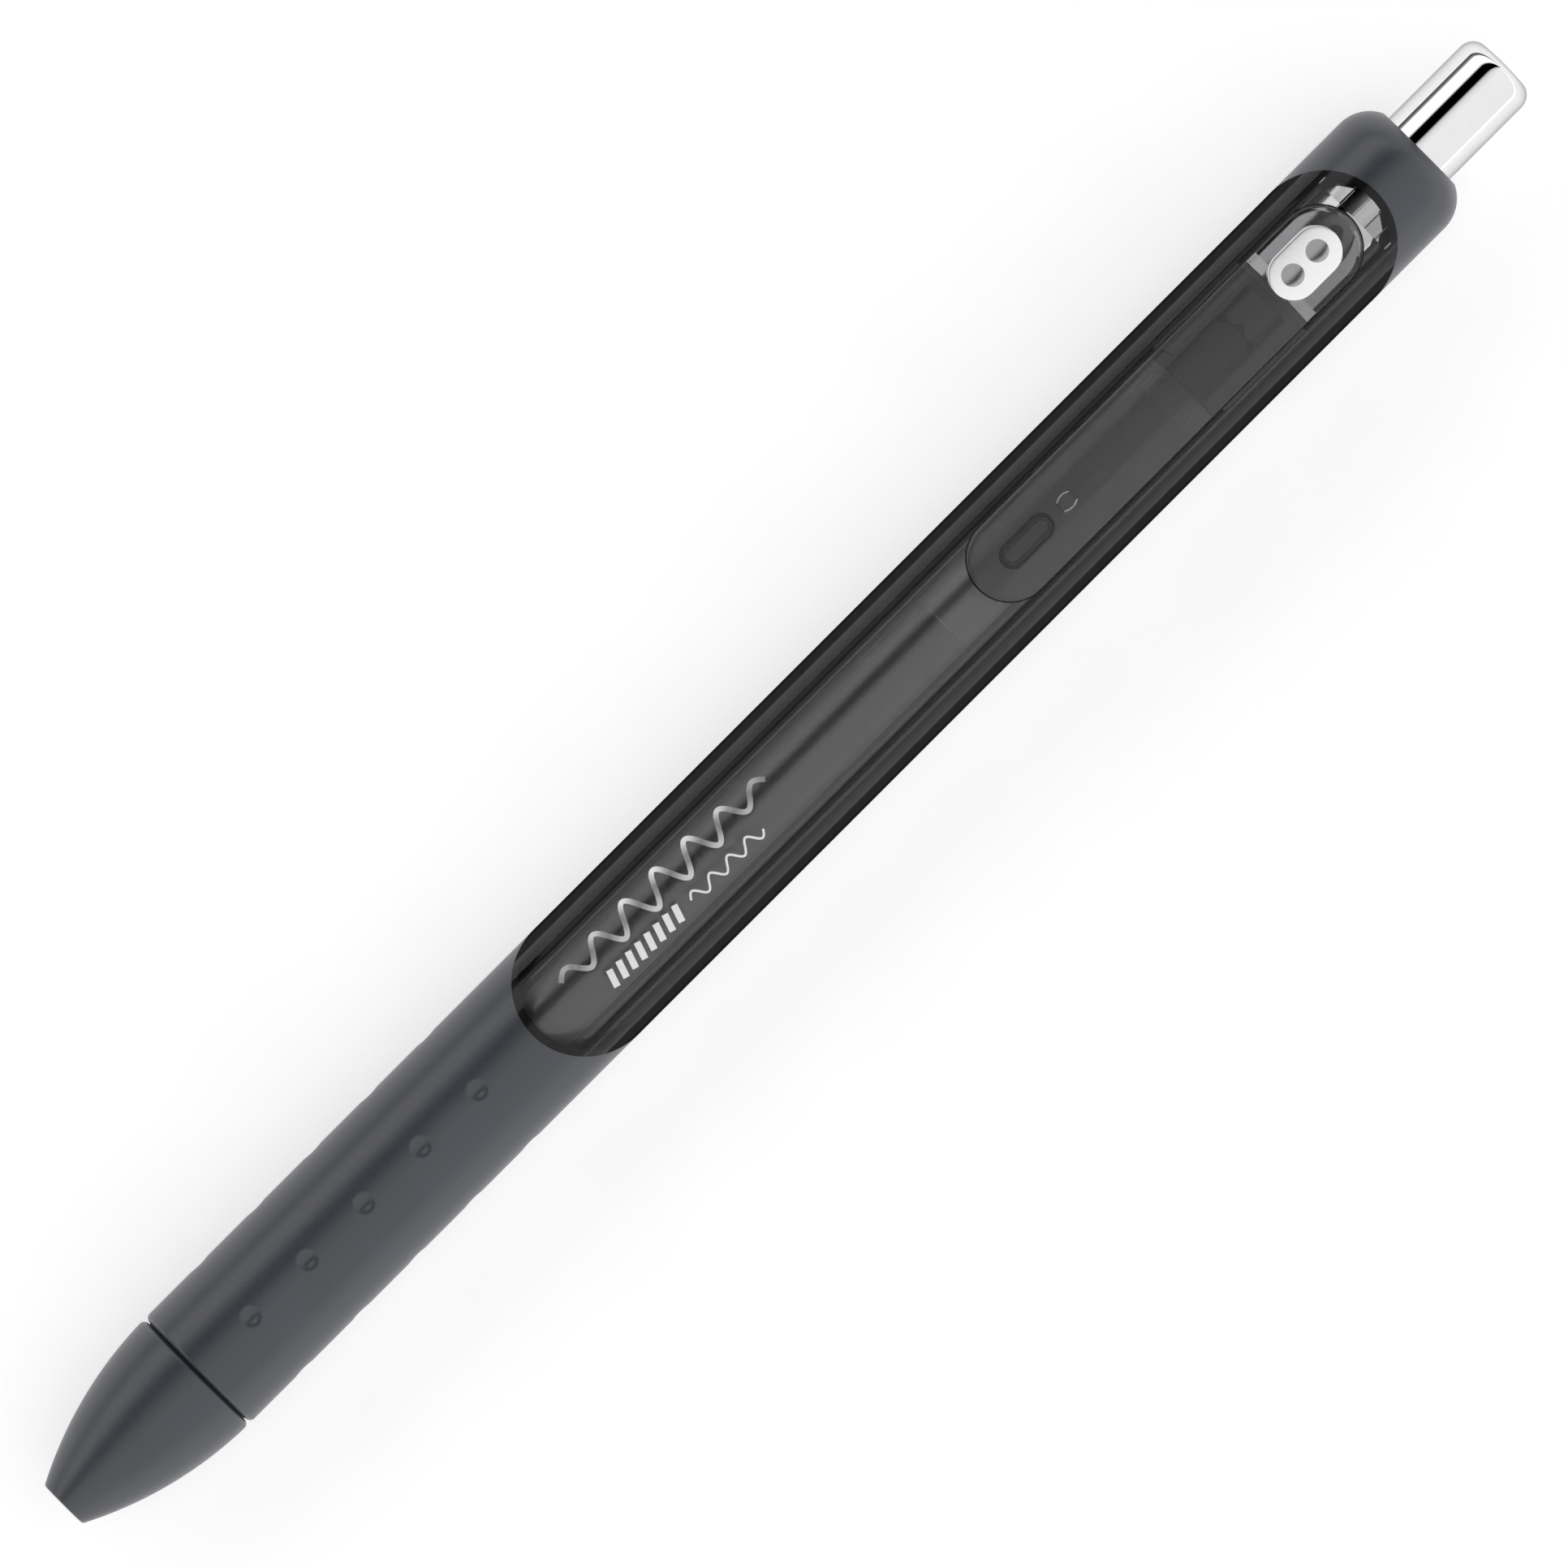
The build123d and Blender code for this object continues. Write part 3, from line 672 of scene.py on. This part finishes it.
def tube():
    """Smoke barrel: clear tube under the rubber, with the window's pad flush with the jacket.

    The pad's sides get the look with the dark tinted coat, a painted shade.
    """
    pad_r = BODY_R - 0.005
    pad_inside_r = TUBE_R - 0.4
    past = 2
    pad = lathe(
        "pad",
        [
            (WINDOW_START_S - past, pad_inside_r),
            (WINDOW_START_S - past, pad_r),
            (WINDOW_END_S + past, pad_r),
            (WINDOW_END_S + past, pad_inside_r),
        ],
    )
    cut(pad, window_prism(BOND), "INTERSECT")
    bore_step_l = 0.4
    lead_in, first_crest, thread_half, crest_half = 0.2, 0.85, 0.3, 0.1
    outline = [(TUBE_START_S, SPIGOT_BORE_R), (TUBE_START_S, SPIGOT_R - lead_in)]
    outline.append((TUBE_START_S + lead_in, SPIGOT_R))
    for turn in range(3):
        crest = TUBE_START_S + first_crest + turn * THREAD_PITCH
        outline += [(crest - thread_half, SPIGOT_R), (crest - crest_half, THREAD_R)]
        outline += [(crest + crest_half, THREAD_R), (crest + thread_half, SPIGOT_R)]
    outline += [
        (BARREL_START_S + SHOULDER_COVER, SPIGOT_R),
        (BARREL_START_S + SHOULDER_COVER, TUBE_R + BOND),
        (BUSH_FACE_S, TUBE_R + BOND),
        (BUSH_FACE_S, BORE_R),
        (SPIGOT_BORE_END_S + bore_step_l, BORE_R),
        (SPIGOT_BORE_END_S, SPIGOT_BORE_R),
    ]
    made = lathe("tube", outline)
    cut(made, pad, "UNION")
    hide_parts("barrel_tube")
    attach(made, "barrel")
    dress(made, smoke_look)
    made.data.materials.append(shaded_side_look)
    # Painted shade: the pad's outer sides get the dark coated look.
    for face in made.data.polygons:
        y = abs(face.center.y) / MM
        radius = math.hypot(y, face.center.z / MM - AXIS_Z)
        if radius > pad_r - 0.02 and y > SIDE_Y:
            face.material_index = 1
    return made


def nose():
    """Rubber skin of the nose, with one long arc for its side."""
    steps = 40
    outside = []
    for k in range(steps + 1):
        station = NOSE_END_S * k / steps
        arc = math.sqrt(NOSE_ARC_R**2 - (NOSE_ARC_S - station) ** 2)
        outside.append((station, BODY_R - NOSE_ARC_R + arc))
    face_r = outside[0][1]
    inside_r = NOSE_ARC_R - NOSE_SKIN_T
    inside_end = BODY_R - NOSE_ARC_R + math.sqrt(inside_r**2 - (NOSE_ARC_S - NOSE_END_S) ** 2)
    corners = [(0, face_r, NOSE_FACE_EDGE_R)]
    corners += [(s, r, 0) for s, r in outside[2:-2]]
    corners.append((NOSE_END_S, outside[-1][1], EDGE_R))
    corners.append((NOSE_END_S, inside_end, 0))
    for k in range(8, -1, -1):
        station = NOSE_CORE_S + (NOSE_END_S - NOSE_CORE_S) * k / 9
        arc = math.sqrt(inside_r**2 - (NOSE_ARC_S - station) ** 2)
        corners.append((station, BODY_R - NOSE_ARC_R + arc, 0))
    corners += [(NOSE_CORE_S, TIP_HOLE_R, 0), (0, TIP_HOLE_R, TIP_HOLE_EDGE_R)]
    made = lathe("nose", rounded(corners))
    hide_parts("nose_skin")
    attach(made, "nose")
    return dress(made, rubber_look)


def button():
    """Chromed cap of the click button."""
    side_end = LENGTH - CAP_DOME - CAP_EDGE_L
    bevel, inside_bevel = 0.1, 0.5
    outline = [(CAP_START_S, CAP_BORE_R), (CAP_START_S, BUTTON_R - bevel), (CAP_START_S + bevel, BUTTON_R)]
    steps = 20
    for k in range(steps + 1):
        a = math.pi / 2 * k / steps
        outline.append((side_end + CAP_EDGE_L * math.sin(a), BUTTON_R - CAP_EDGE_DROP * (1 - math.cos(a))))
    flat_r = BUTTON_R - CAP_EDGE_DROP
    for k in range(1, 9):
        r = flat_r * (1 - k / 8)
        outline.append((LENGTH - CAP_DOME * (r / flat_r) ** 2, r))
    outline += [
        (LENGTH - CAP_TOP_T, 0),
        (LENGTH - CAP_TOP_T, CAP_BORE_R - inside_bevel),
        (LENGTH - CAP_TOP_T - inside_bevel, CAP_BORE_R),
    ]
    made = lathe("button", outline)
    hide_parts("button_cap")
    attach(made, "button")
    return dress(made, chrome_look)


def barrel_outline(half_l, half_w, bulge, count=12):
    """Outline of the small barrel-shaped mark on the clip, as (station, y) points."""
    points = []
    for side in (1, -1):
        for k in range(count + 1):
            x = side * (1 - 2 * k / count)
            points.append((MARK_S + half_l * x, side * (half_w - bulge * x * x)))
    return points


def clip_tools():
    """Cutters for the clip: a small sunk mark in its top and a notch in each edge."""
    overhang = 0.5
    tools = bmesh.new()
    rings = []
    for inset, height in MARK_SIDE:
        outline = barrel_outline(MARK_HALF_L - inset, MARK_HALF_W - inset, MARK_BULGE)
        rings.append([tools.verts.new(spot(s, y, CLIP_TOP + height)) for s, y in outline])
    bridge(tools, rings)
    tools.faces.new(rings[0])
    tools.faces.new(rings[-1])
    for side in (-1, 1):
        column = []
        for height in (CLIP_TOP - CLIP_T - overhang, CLIP_TOP + overhang):
            circle = []
            for angle in even_angles(24):
                y = side * (CLIP_HALF_W + NOTCH_OUT) + NOTCH_R * math.sin(angle)
                circle.append(tools.verts.new(spot(MARK_S + NOTCH_R * math.cos(angle), y, height)))
            column.append(circle)
        bridge(tools, column)
        tools.faces.new(column[0])
        tools.faces.new(column[1])
    return finished("clip_tools", tools)


def on_rim(station, y):
    """Whether a place is on the rounded rim of the clip's outline."""
    middle_s = min(max(station, CLIP_TIP_S + CLIP_HALF_W), CLIP_END_S - CLIP_HALF_W)
    return math.hypot(station - middle_s, y) > CLIP_HALF_W - CLIP_EDGE_R


def bump_rings(side, low, high):
    """Rings of the bump or its pocket, from (inset, share of the height from low to high) pairs."""
    rings = []
    for inset, share in side:
        outline = inset_stadium(BUMP_S - BUMP_L / 2, BUMP_S + BUMP_L / 2, BUMP_HALF_W, inset)
        rings.append([(s, y, low + (high - low) * share) for s, y in outline])
    return rings


def clip():
    """The whole clip in one piece: crowned arm and head, with the bump under the tip and the badge's seat."""
    bottom = CLIP_TOP - CLIP_T
    bottom_edge_r = 0.2
    plate = plate_rings(CLIP_TIP_S, CLIP_END_S, CLIP_HALF_W, bottom, CLIP_TOP, CLIP_EDGE_R, bottom_edge_r)
    made = stack("clip", plate)
    low, high = BODY_R + BUMP_CLEAR, bottom + 0.05
    cut(made, stack("bump", bump_rings(BUMP_SIDE, low, high)), "UNION")
    cut(made, stack("pocket", bump_rings(POCKET_SIDE, low, high)))
    cut(made, clip_tools())
    seat_gap, overhang = 0.02, 1
    seat = stack(
        "seat",
        [
            [(s, y, BADGE_BOTTOM - seat_gap) for s, y in seat_outline()],
            [(s, y, CLIP_TOP + overhang) for s, y in seat_outline()],
        ],
    )
    cut(made, seat)
    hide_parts("clip_arm", "clip_root")
    dress(made, clip_look)
    made.data.materials.append(shade_black_look)
    made.data.materials.append(rim_shade_look)
    for face in made.data.polygons:
        height = face.center.z / MM - AXIS_Z
        station = face.center.x / MM + LENGTH / 2
        # The middle of the bump's steep side is painted black, a painted shade.
        if 0.2 < (height - low) / (high - low) < 0.8:
            face.material_index = 1
        # Painted shade: the rounded rim gets the dark coated look, which draws a dark outline.
        elif height > bottom and abs(face.normal.z) < 0.7 and on_rim(station, face.center.y / MM):
            face.material_index = 2
    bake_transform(made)
    return made


def clip_foot():
    """Clear foot between the clip's head and the barrel, moulded with both."""
    outline = stadium(
        PEDESTAL_START_S - PEDESTAL_HALF_W, CLIP_END_S - CLIP_HALF_W + PEDESTAL_HALF_W, PEDESTAL_HALF_W
    )
    outline = [(max(s, PEDESTAL_START_S), y) for s, y in outline]
    rest_r = BODY_R - FOOT_SINK
    low = [(s, y, math.sqrt(rest_r**2 - y * y)) for s, y in outline if s > PEDESTAL_START_S]
    high = [(s, y, CLIP_TOP - CLIP_T + FOOT_SINK) for s, y, _ in low]
    made = stack("clip_foot", [low, high])
    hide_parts("clip_root")
    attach(made, "barrel")
    return dress(made, smoke_look)


def seat_outline():
    """Outline of the badge's recess in the clip."""
    fit = 0.06
    return stadium(BADGE_START_S - fit, BADGE_END_S + fit, BADGE_HALF_W + fit)


def badge():
    """Silver plate in the clip's head, with two round dishes."""
    edge_r, bottom_edge_r = 0.14, 0.05
    plate = plate_rings(
        BADGE_START_S, BADGE_END_S, BADGE_HALF_W, BADGE_BOTTOM, BADGE_TOP, edge_r, bottom_edge_r
    )
    made = stack("badge", plate, crease=40)
    ball_r = (DISH_R**2 + DISH_DEPTH**2) / (2 * DISH_DEPTH)
    middle = (BADGE_START_S + BADGE_END_S) / 2
    for side in (-1, 1):
        ball = bmesh.new()
        bmesh.ops.create_uvsphere(ball, u_segments=96, v_segments=96, radius=ball_r * MM)
        centre = spot(middle + side * DISH_SPACING / 2, 0, BADGE_TOP - DISH_DEPTH + ball_r)
        bmesh.ops.translate(ball, vec=centre, verts=ball.verts)
        cut(made, finished("dish", ball), crease=25)
    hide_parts("clip_badge")
    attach(made, "barrel")
    dress(made, badge_look)
    made.data.materials.append(dish_shade_look)
    # Painted shade: the dishes get a darker metal than the plate.
    for face in made.data.polygons:
        for side in (-1, 1):
            centre = spot(middle + side * DISH_SPACING / 2, 0, BADGE_TOP - DISH_DEPTH + ball_r)
            inward = centre - face.center
            if abs(inward.length / MM - ball_r) < 0.01 and inward.normalized().dot(face.normal) > 0.99:
                face.material_index = 1
    return made


def coil(name, start_s, end_s, radius, wire_r, turns, dead_turns):
    """Round-wire compression spring with closed ends."""
    mesh = bmesh.new()
    per_turn = 40
    count = int((turns + 2 * dead_turns) * per_turn)
    rings = []
    active = (end_s - start_s) - 2 * wire_r - 2 * dead_turns * 2 * wire_r
    for k in range(count + 1):
        turn = k / per_turn
        closed = min(turn, dead_turns) + max(0, turn - dead_turns - turns)
        opened = max(0, min(turn - dead_turns, turns))
        station = start_s + wire_r + closed * 2 * wire_r + opened * active / turns
        angle = 2 * math.pi * turn
        ring = []
        for bend in even_angles(12):
            r = radius - wire_r + wire_r * math.cos(bend)
            place = spot(station + wire_r * math.sin(bend), r * math.cos(angle), r * math.sin(angle))
            ring.append(mesh.verts.new(place))
        rings.append(ring)
    bridge(mesh, rings)
    mesh.faces.new(rings[0])
    mesh.faces.new(rings[-1])
    return finished(name, mesh)


def spring():
    """Return spring, modelled at one length; the real one shortens as the refill moves."""
    wire_r, turns, dead_turns = 0.2, 8.5, 1
    made = coil("spring", SPRING_START_S, SPRING_END_S, SPRING_R, wire_r, turns, dead_turns)
    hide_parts("return_spring")
    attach(made, "nose")
    dress(made, spring_look)
    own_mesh(made)
    return made


def refill():
    """Refill tube, and the ink and follower that wet its wall."""
    edge_r = 0.1
    tube_piece = lathe(
        "refill",
        rounded(
            [
                (REFILL_START_S, INK_R, 0),
                (REFILL_START_S, REFILL_R, edge_r),
                (REFILL_END_S, REFILL_R, edge_r),
                (REFILL_END_S, INK_R, 0),
            ],
            step=30,
        ),
    )
    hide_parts("refill_tube")
    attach(tube_piece, "refill")
    dress(tube_piece, refill_look)
    dip = 0.5
    wet_r = INK_R - BOND

    def meniscus(level_s):
        """Points of a dipped surface, from the tube's wall inward."""
        return [(level_s - dip * (1 - (k / 8) ** 2), wet_r * k / 8) for k in range(7, -1, -1)]

    ink_outline = [(INK_START_S, 0), (INK_START_S, wet_r), (INK_END_S, wet_r)] + meniscus(INK_END_S)
    ink_piece = lathe("ink", ink_outline)
    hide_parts("ink_column")
    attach(ink_piece, "refill")
    dress(ink_piece, ink_look)
    gap = 0.02
    grease_outline = [(INK_END_S + gap, wet_r), (FOLLOWER_END_S, wet_r)]
    grease_outline += meniscus(FOLLOWER_END_S) + meniscus(INK_END_S + gap)[::-1]
    grease = lathe("follower", grease_outline)
    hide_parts("ink_follower")
    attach(grease, "refill")
    dress(grease, grease_look)


def bush():
    """Plated bush at the barrel's end, with flats round its collar and a thin groove between them."""
    start_s, end_s = span("end_bush")
    flange_s, flange_lead = 132.4, 0.1
    inner_r = 3.14
    collar_r = BORE_R - 0.01
    flats, groove_deg, groove_depth = 20, 2.6, 0.14
    angles = []
    radii = []
    pitch = 360 / flats
    for flat in range(flats):
        for degrees, depth in (
            (groove_deg / 2, 0),
            (pitch / 2, 0),
            (pitch - groove_deg / 2, 0),
            (pitch - groove_deg / 4, groove_depth),
            (pitch + groove_deg / 4, groove_depth),
        ):
            angles.append(math.radians(flat * pitch + degrees))
            flat_r = collar_r * math.cos(math.radians(pitch / 2))
            across_flat = flat_r / math.cos(math.radians(degrees - pitch / 2))
            radii.append(min(across_flat, collar_r) - depth)
    collar = dict(zip(angles, radii))

    def facet(station, radius, angle):
        """How far the collar's outside stands in from a plain cylinder."""
        if radius < collar_r - 0.001 or station > flange_s - 0.01:
            return 0
        return radius - collar[angle]

    outline = [(start_s, inner_r), (start_s, collar_r)]
    outline += [(flange_s - flange_lead, collar_r), (flange_s, collar_r)]
    outline += [(BUSH_FACE_S + BOND, collar_r), (BUSH_FACE_S + BOND, BUSH_R - BOND)]
    outline += [(end_s, BODY_END_R - BOND), (end_s, inner_r)]
    made = lathe("bush", outline, angles, facet)
    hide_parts("end_bush")
    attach(made, "barrel")
    return dress(made, bush_look)


def ribbon(mesh, line, width, radius, thickness):
    """Adds a printed stroke: a band along (station, arc length) points, wrapped on the barrel."""
    sections = []
    for k, (s, arc) in enumerate(line):
        before = line[max(0, k - 1)]
        after = line[min(len(line) - 1, k + 1)]
        way = Vector((after[0] - before[0], after[1] - before[1])).normalized()
        side = Vector((-way.y, way.x)) * width / 2
        ring = []
        for sign, lift in ((-1, 0), (1, 0), (1, thickness), (-1, thickness)):
            angle = math.pi / 2 - (arc + sign * side.y) / radius
            r = radius + lift
            place = spot(s + sign * side.x, r * math.cos(angle), r * math.sin(angle))
            ring.append(mesh.verts.new(place))
        sections.append(ring)
    bridge(mesh, sections)
    mesh.faces.new(sections[0])
    mesh.faces.new(sections[-1])


def print_marks():
    """Plain printed decoration in the window: a silver wave over leaning white bars and a small ripple."""
    radius = BODY_R - 0.004
    thickness = 0.012
    wave_width, bar_width, ripple_width = 0.4, 0.5, 0.17
    silver = bmesh.new()
    count = 220
    start_s, end_s, wave_arc, waves = 51.3, 71.8, 1.2, 6.5
    line = []
    for k in range(count + 1):
        t = k / count
        swell = 1.15 * math.sin(math.pi * (0.08 + 0.84 * t)) ** 0.7
        arc = wave_arc + swell * math.sin(2 * math.pi * waves * t)
        line.append((start_s + (end_s - start_s) * t, arc))
    ribbon(silver, line, wave_width, radius, thickness)
    wave = finished("print_wave", silver)
    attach(wave, "barrel")
    dress(wave, silver_look)
    white = bmesh.new()
    bars, bar_start_s, bar_pitch, lean = 8, 53.95, 0.93, 0.42
    bar_foot, bar_l = -1.85, 1.3
    for bar in range(bars):
        first_s = bar_start_s + bar * bar_pitch
        stroke = [(first_s + lean * k / 6, bar_foot + bar_l * k / 6) for k in range(7)]
        ribbon(white, stroke, bar_width, radius, thickness)
    ripple = []
    ripple_start_s, ripple_l, ripple_arc, ripple_swell, ripples = 62.0, 7.2, -1.2, 0.45, 4
    ripple_count = 120
    for k in range(ripple_count + 1):
        t = k / ripple_count
        swell = ripple_swell * math.sin(2 * math.pi * ripples * t)
        ripple.append((ripple_start_s + ripple_l * t, ripple_arc + swell))
    ribbon(white, ripple, ripple_width, radius, thickness)
    row = finished("print_bars", white)
    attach(row, "barrel")
    dress(row, white_look)


rubber_look = rubber()
pad_t = BODY_R - BORE_R
smoke_look = clear_plastic("smoke_clear", through=0.78, thickness=pad_t, gloss=0.5)
# Painted shade: the same smoke plastic under a dark tinted coat.
shaded_side_look = clear_plastic("smoke_side_painted_shade", through=0.78, thickness=pad_t, gloss=0.5, skin=0.5)
clip_look = clear_plastic("clip_smoke", through=0.47, thickness=CLIP_T, gloss=1.0)
# Painted shade: a dark tinted coat for the clip's rim.
rim_shade_look = clear_plastic("clip_rim_painted_shade", through=0.47, thickness=CLIP_T, gloss=1.0, skin=0.4)
chrome_look = metal(
    "button_mirror", shade(0.84, (1, 1, 1.005)), roughness=0.045, grain=0.0015, depth=0.0000004
)
badge_look = metal("badge_satin", shade(0.92), roughness=0.22, brushed=(1, 12, 1), grain=0.0003)
# Painted shade: darker metal for the badge's dishes.
dish_shade_look = metal("badge_recess_shade", shade(0.34), roughness=0.3, brushed=(1, 14, 1), grain=0.0003)
bush_look = metal(
    "bush_plating", shade(0.8), roughness=0.08, brushed=(0.1, 1, 1), grain=0.0016, vary=0.55
)
spring_look = metal("spring_wire", shade(0.6), roughness=0.25, brushed=(12, 1, 1))
tip_look = metal("turned_tip", shade(0.62, (1, 1, 0.98)), roughness=0.22, brushed=(14, 1, 1))
ball_look = metal("ground_ball", shade(0.4), roughness=0.12, grain=0.0001)
# Painted light: the guide and the rotor are black, and this grey lightens them as if lit through the clip.
guide_look = plain_plastic("guide_black", shade(0.17), roughness=0.6)
rotor_look = plain_plastic("rotor_black", shade(0.17), roughness=0.6)
# Painted shade: plain black for rubber and plastic deep in shade.
shade_black_look = plain_plastic("painted_shade_black", shade(0.008), roughness=0.7)
# Painted light: a pale, lit copy of the blue-grey rubber.
lit_wall_look = plain_plastic("rubber_painted_light", shade(0.45, (0.95, 0.97, 1.1)), roughness=0.6)
core_look = plain_plastic("nose_core_black", shade(0.025), roughness=0.45)
plunger_look = plain_plastic("plunger_grey", shade(0.25), roughness=0.4)
plug_look = plain_plastic("plug_grey", shade(0.28), roughness=0.45)
refill_look = milky_plastic("refill_clear", shade(0.95), through=0.88, roughness=0.02)
holder_look = milky_plastic("holder_clear", shade(0.72), through=0.5, roughness=0.3)
grease_look = milky_plastic("follower_clear", shade(0.85), through=0.9, roughness=0.1)
ink_look = wet_ink()
silver_look = print_paint("print_silver", shade(0.72), metallic=1.0, roughness=0.35)
white_look = print_paint("print_white", shade(0.85), metallic=0.0, roughness=0.5)

jacket()
tube()
nose()
button()
clip()
clip_foot()
badge()
spring()
refill()
bush()
print_marks()

CARRIED = {
    "guide_crown": guide_look,
    "nose_core": core_look,
    "cam_plunger": plunger_look,
    "rotor_cam": rotor_look,
    "tip_holder": holder_look,
    "writing_tip": tip_look,
    "writing_ball": ball_look,
    "tail_plug": plug_look,
}
for node, look in CARRIED.items():
    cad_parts[node].data.materials.clear()
    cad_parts[node].data.materials.append(look)

# ---------------------------------------------------------------- studio


def studio_floor():
    """Plain pale floor."""
    mesh = bmesh.new()
    half = 6.0
    steps = 8
    grid = []
    for i in range(steps + 1):
        row = []
        for j in range(steps + 1):
            row.append(mesh.verts.new((half * (2 * i / steps - 1), half * (2 * j / steps - 1), 0)))
        grid.append(row)
    for i in range(steps):
        for j in range(steps):
            mesh.faces.new((grid[i][j], grid[i + 1][j], grid[i + 1][j + 1], grid[i][j + 1]))
    floor = finished("floor", mesh)
    made, nodes, links, shader = material("floor_white")
    weave = noise(nodes, links, size=0.01, detail=3)
    links.new(blend_colours(nodes, links, weave, shade(0.5), shade(0.52)), shader.inputs["Base Color"])
    shader.inputs["Roughness"].default_value = 0.8
    shader.inputs["Emission Color"].default_value = (1, 1, 1, 1)
    shader.inputs["Emission Strength"].default_value = 0.62
    floor.data.materials.append(made)


def studio_light():
    """Soft white surround with two dark flags, set by the angle from the zenith towards +Y in degrees."""
    world = bpy.data.worlds.new("studio")
    bpy.context.scene.world = world
    world.use_nodes = True
    nodes, links = world.node_tree.nodes, world.node_tree.links
    place = nodes.new("ShaderNodeTexCoord")
    parts = nodes.new("ShaderNodeSeparateXYZ")
    links.new(place.outputs["Generated"], parts.inputs["Vector"])
    lean = nodes.new("ShaderNodeMath")
    lean.operation = "ARCTAN2"
    links.new(parts.outputs["Y"], lean.inputs[0])
    links.new(parts.outputs["Z"], lean.inputs[1])
    share = nodes.new("ShaderNodeMapRange")
    share.inputs["From Min"].default_value = -math.pi
    share.inputs["From Max"].default_value = math.pi
    links.new(lean.outputs["Value"], share.inputs["Value"])
    ramp = nodes.new("ShaderNodeValToRGB")
    stops = [
        (-92, 0.5),
        (-87, 0.5),
        (-83, 0.25),
        (-30, 0.25),
        (-5, 0.25),
        (6, 0.22),
        (13, 0.16),
        (17, 0.0),
        (39, 0.0),
        (45, 0.35),
        (74, 0.35),
        (79, 0.06),
        (91, 0.0),
        (93, 0.25),
    ]
    elements = ramp.color_ramp.elements
    while len(elements) < len(stops):
        elements.new(0.5)
    for element, (degrees, grey) in zip(elements, stops):
        element.position = 0.5 + degrees / 360
        element.color = (grey, grey, grey, 1)
    links.new(share.outputs["Result"], ramp.inputs["Fac"])
    background = nodes["Background"]
    links.new(ramp.outputs["Color"], background.inputs["Color"])
    background.inputs["Strength"].default_value = 4.0


def camera():
    """Long lens straight above the pen, turned so that the pen runs from lower left to upper right."""
    data = bpy.data.cameras.new("camera")
    data.lens = 1200
    data.sensor_width = 36
    view_width = 0.111565
    camera_object = bpy.data.objects.new("camera", data)
    camera_object.location = (0, 0, AXIS_Z * MM + view_width * data.lens / data.sensor_width)
    camera_object.rotation_euler = (0, 0, math.radians(-45))
    bpy.context.scene.collection.objects.link(camera_object)
    bpy.context.scene.camera = camera_object


studio_floor()
studio_light()
camera()
bpy.context.scene.view_settings.view_transform = "Standard"
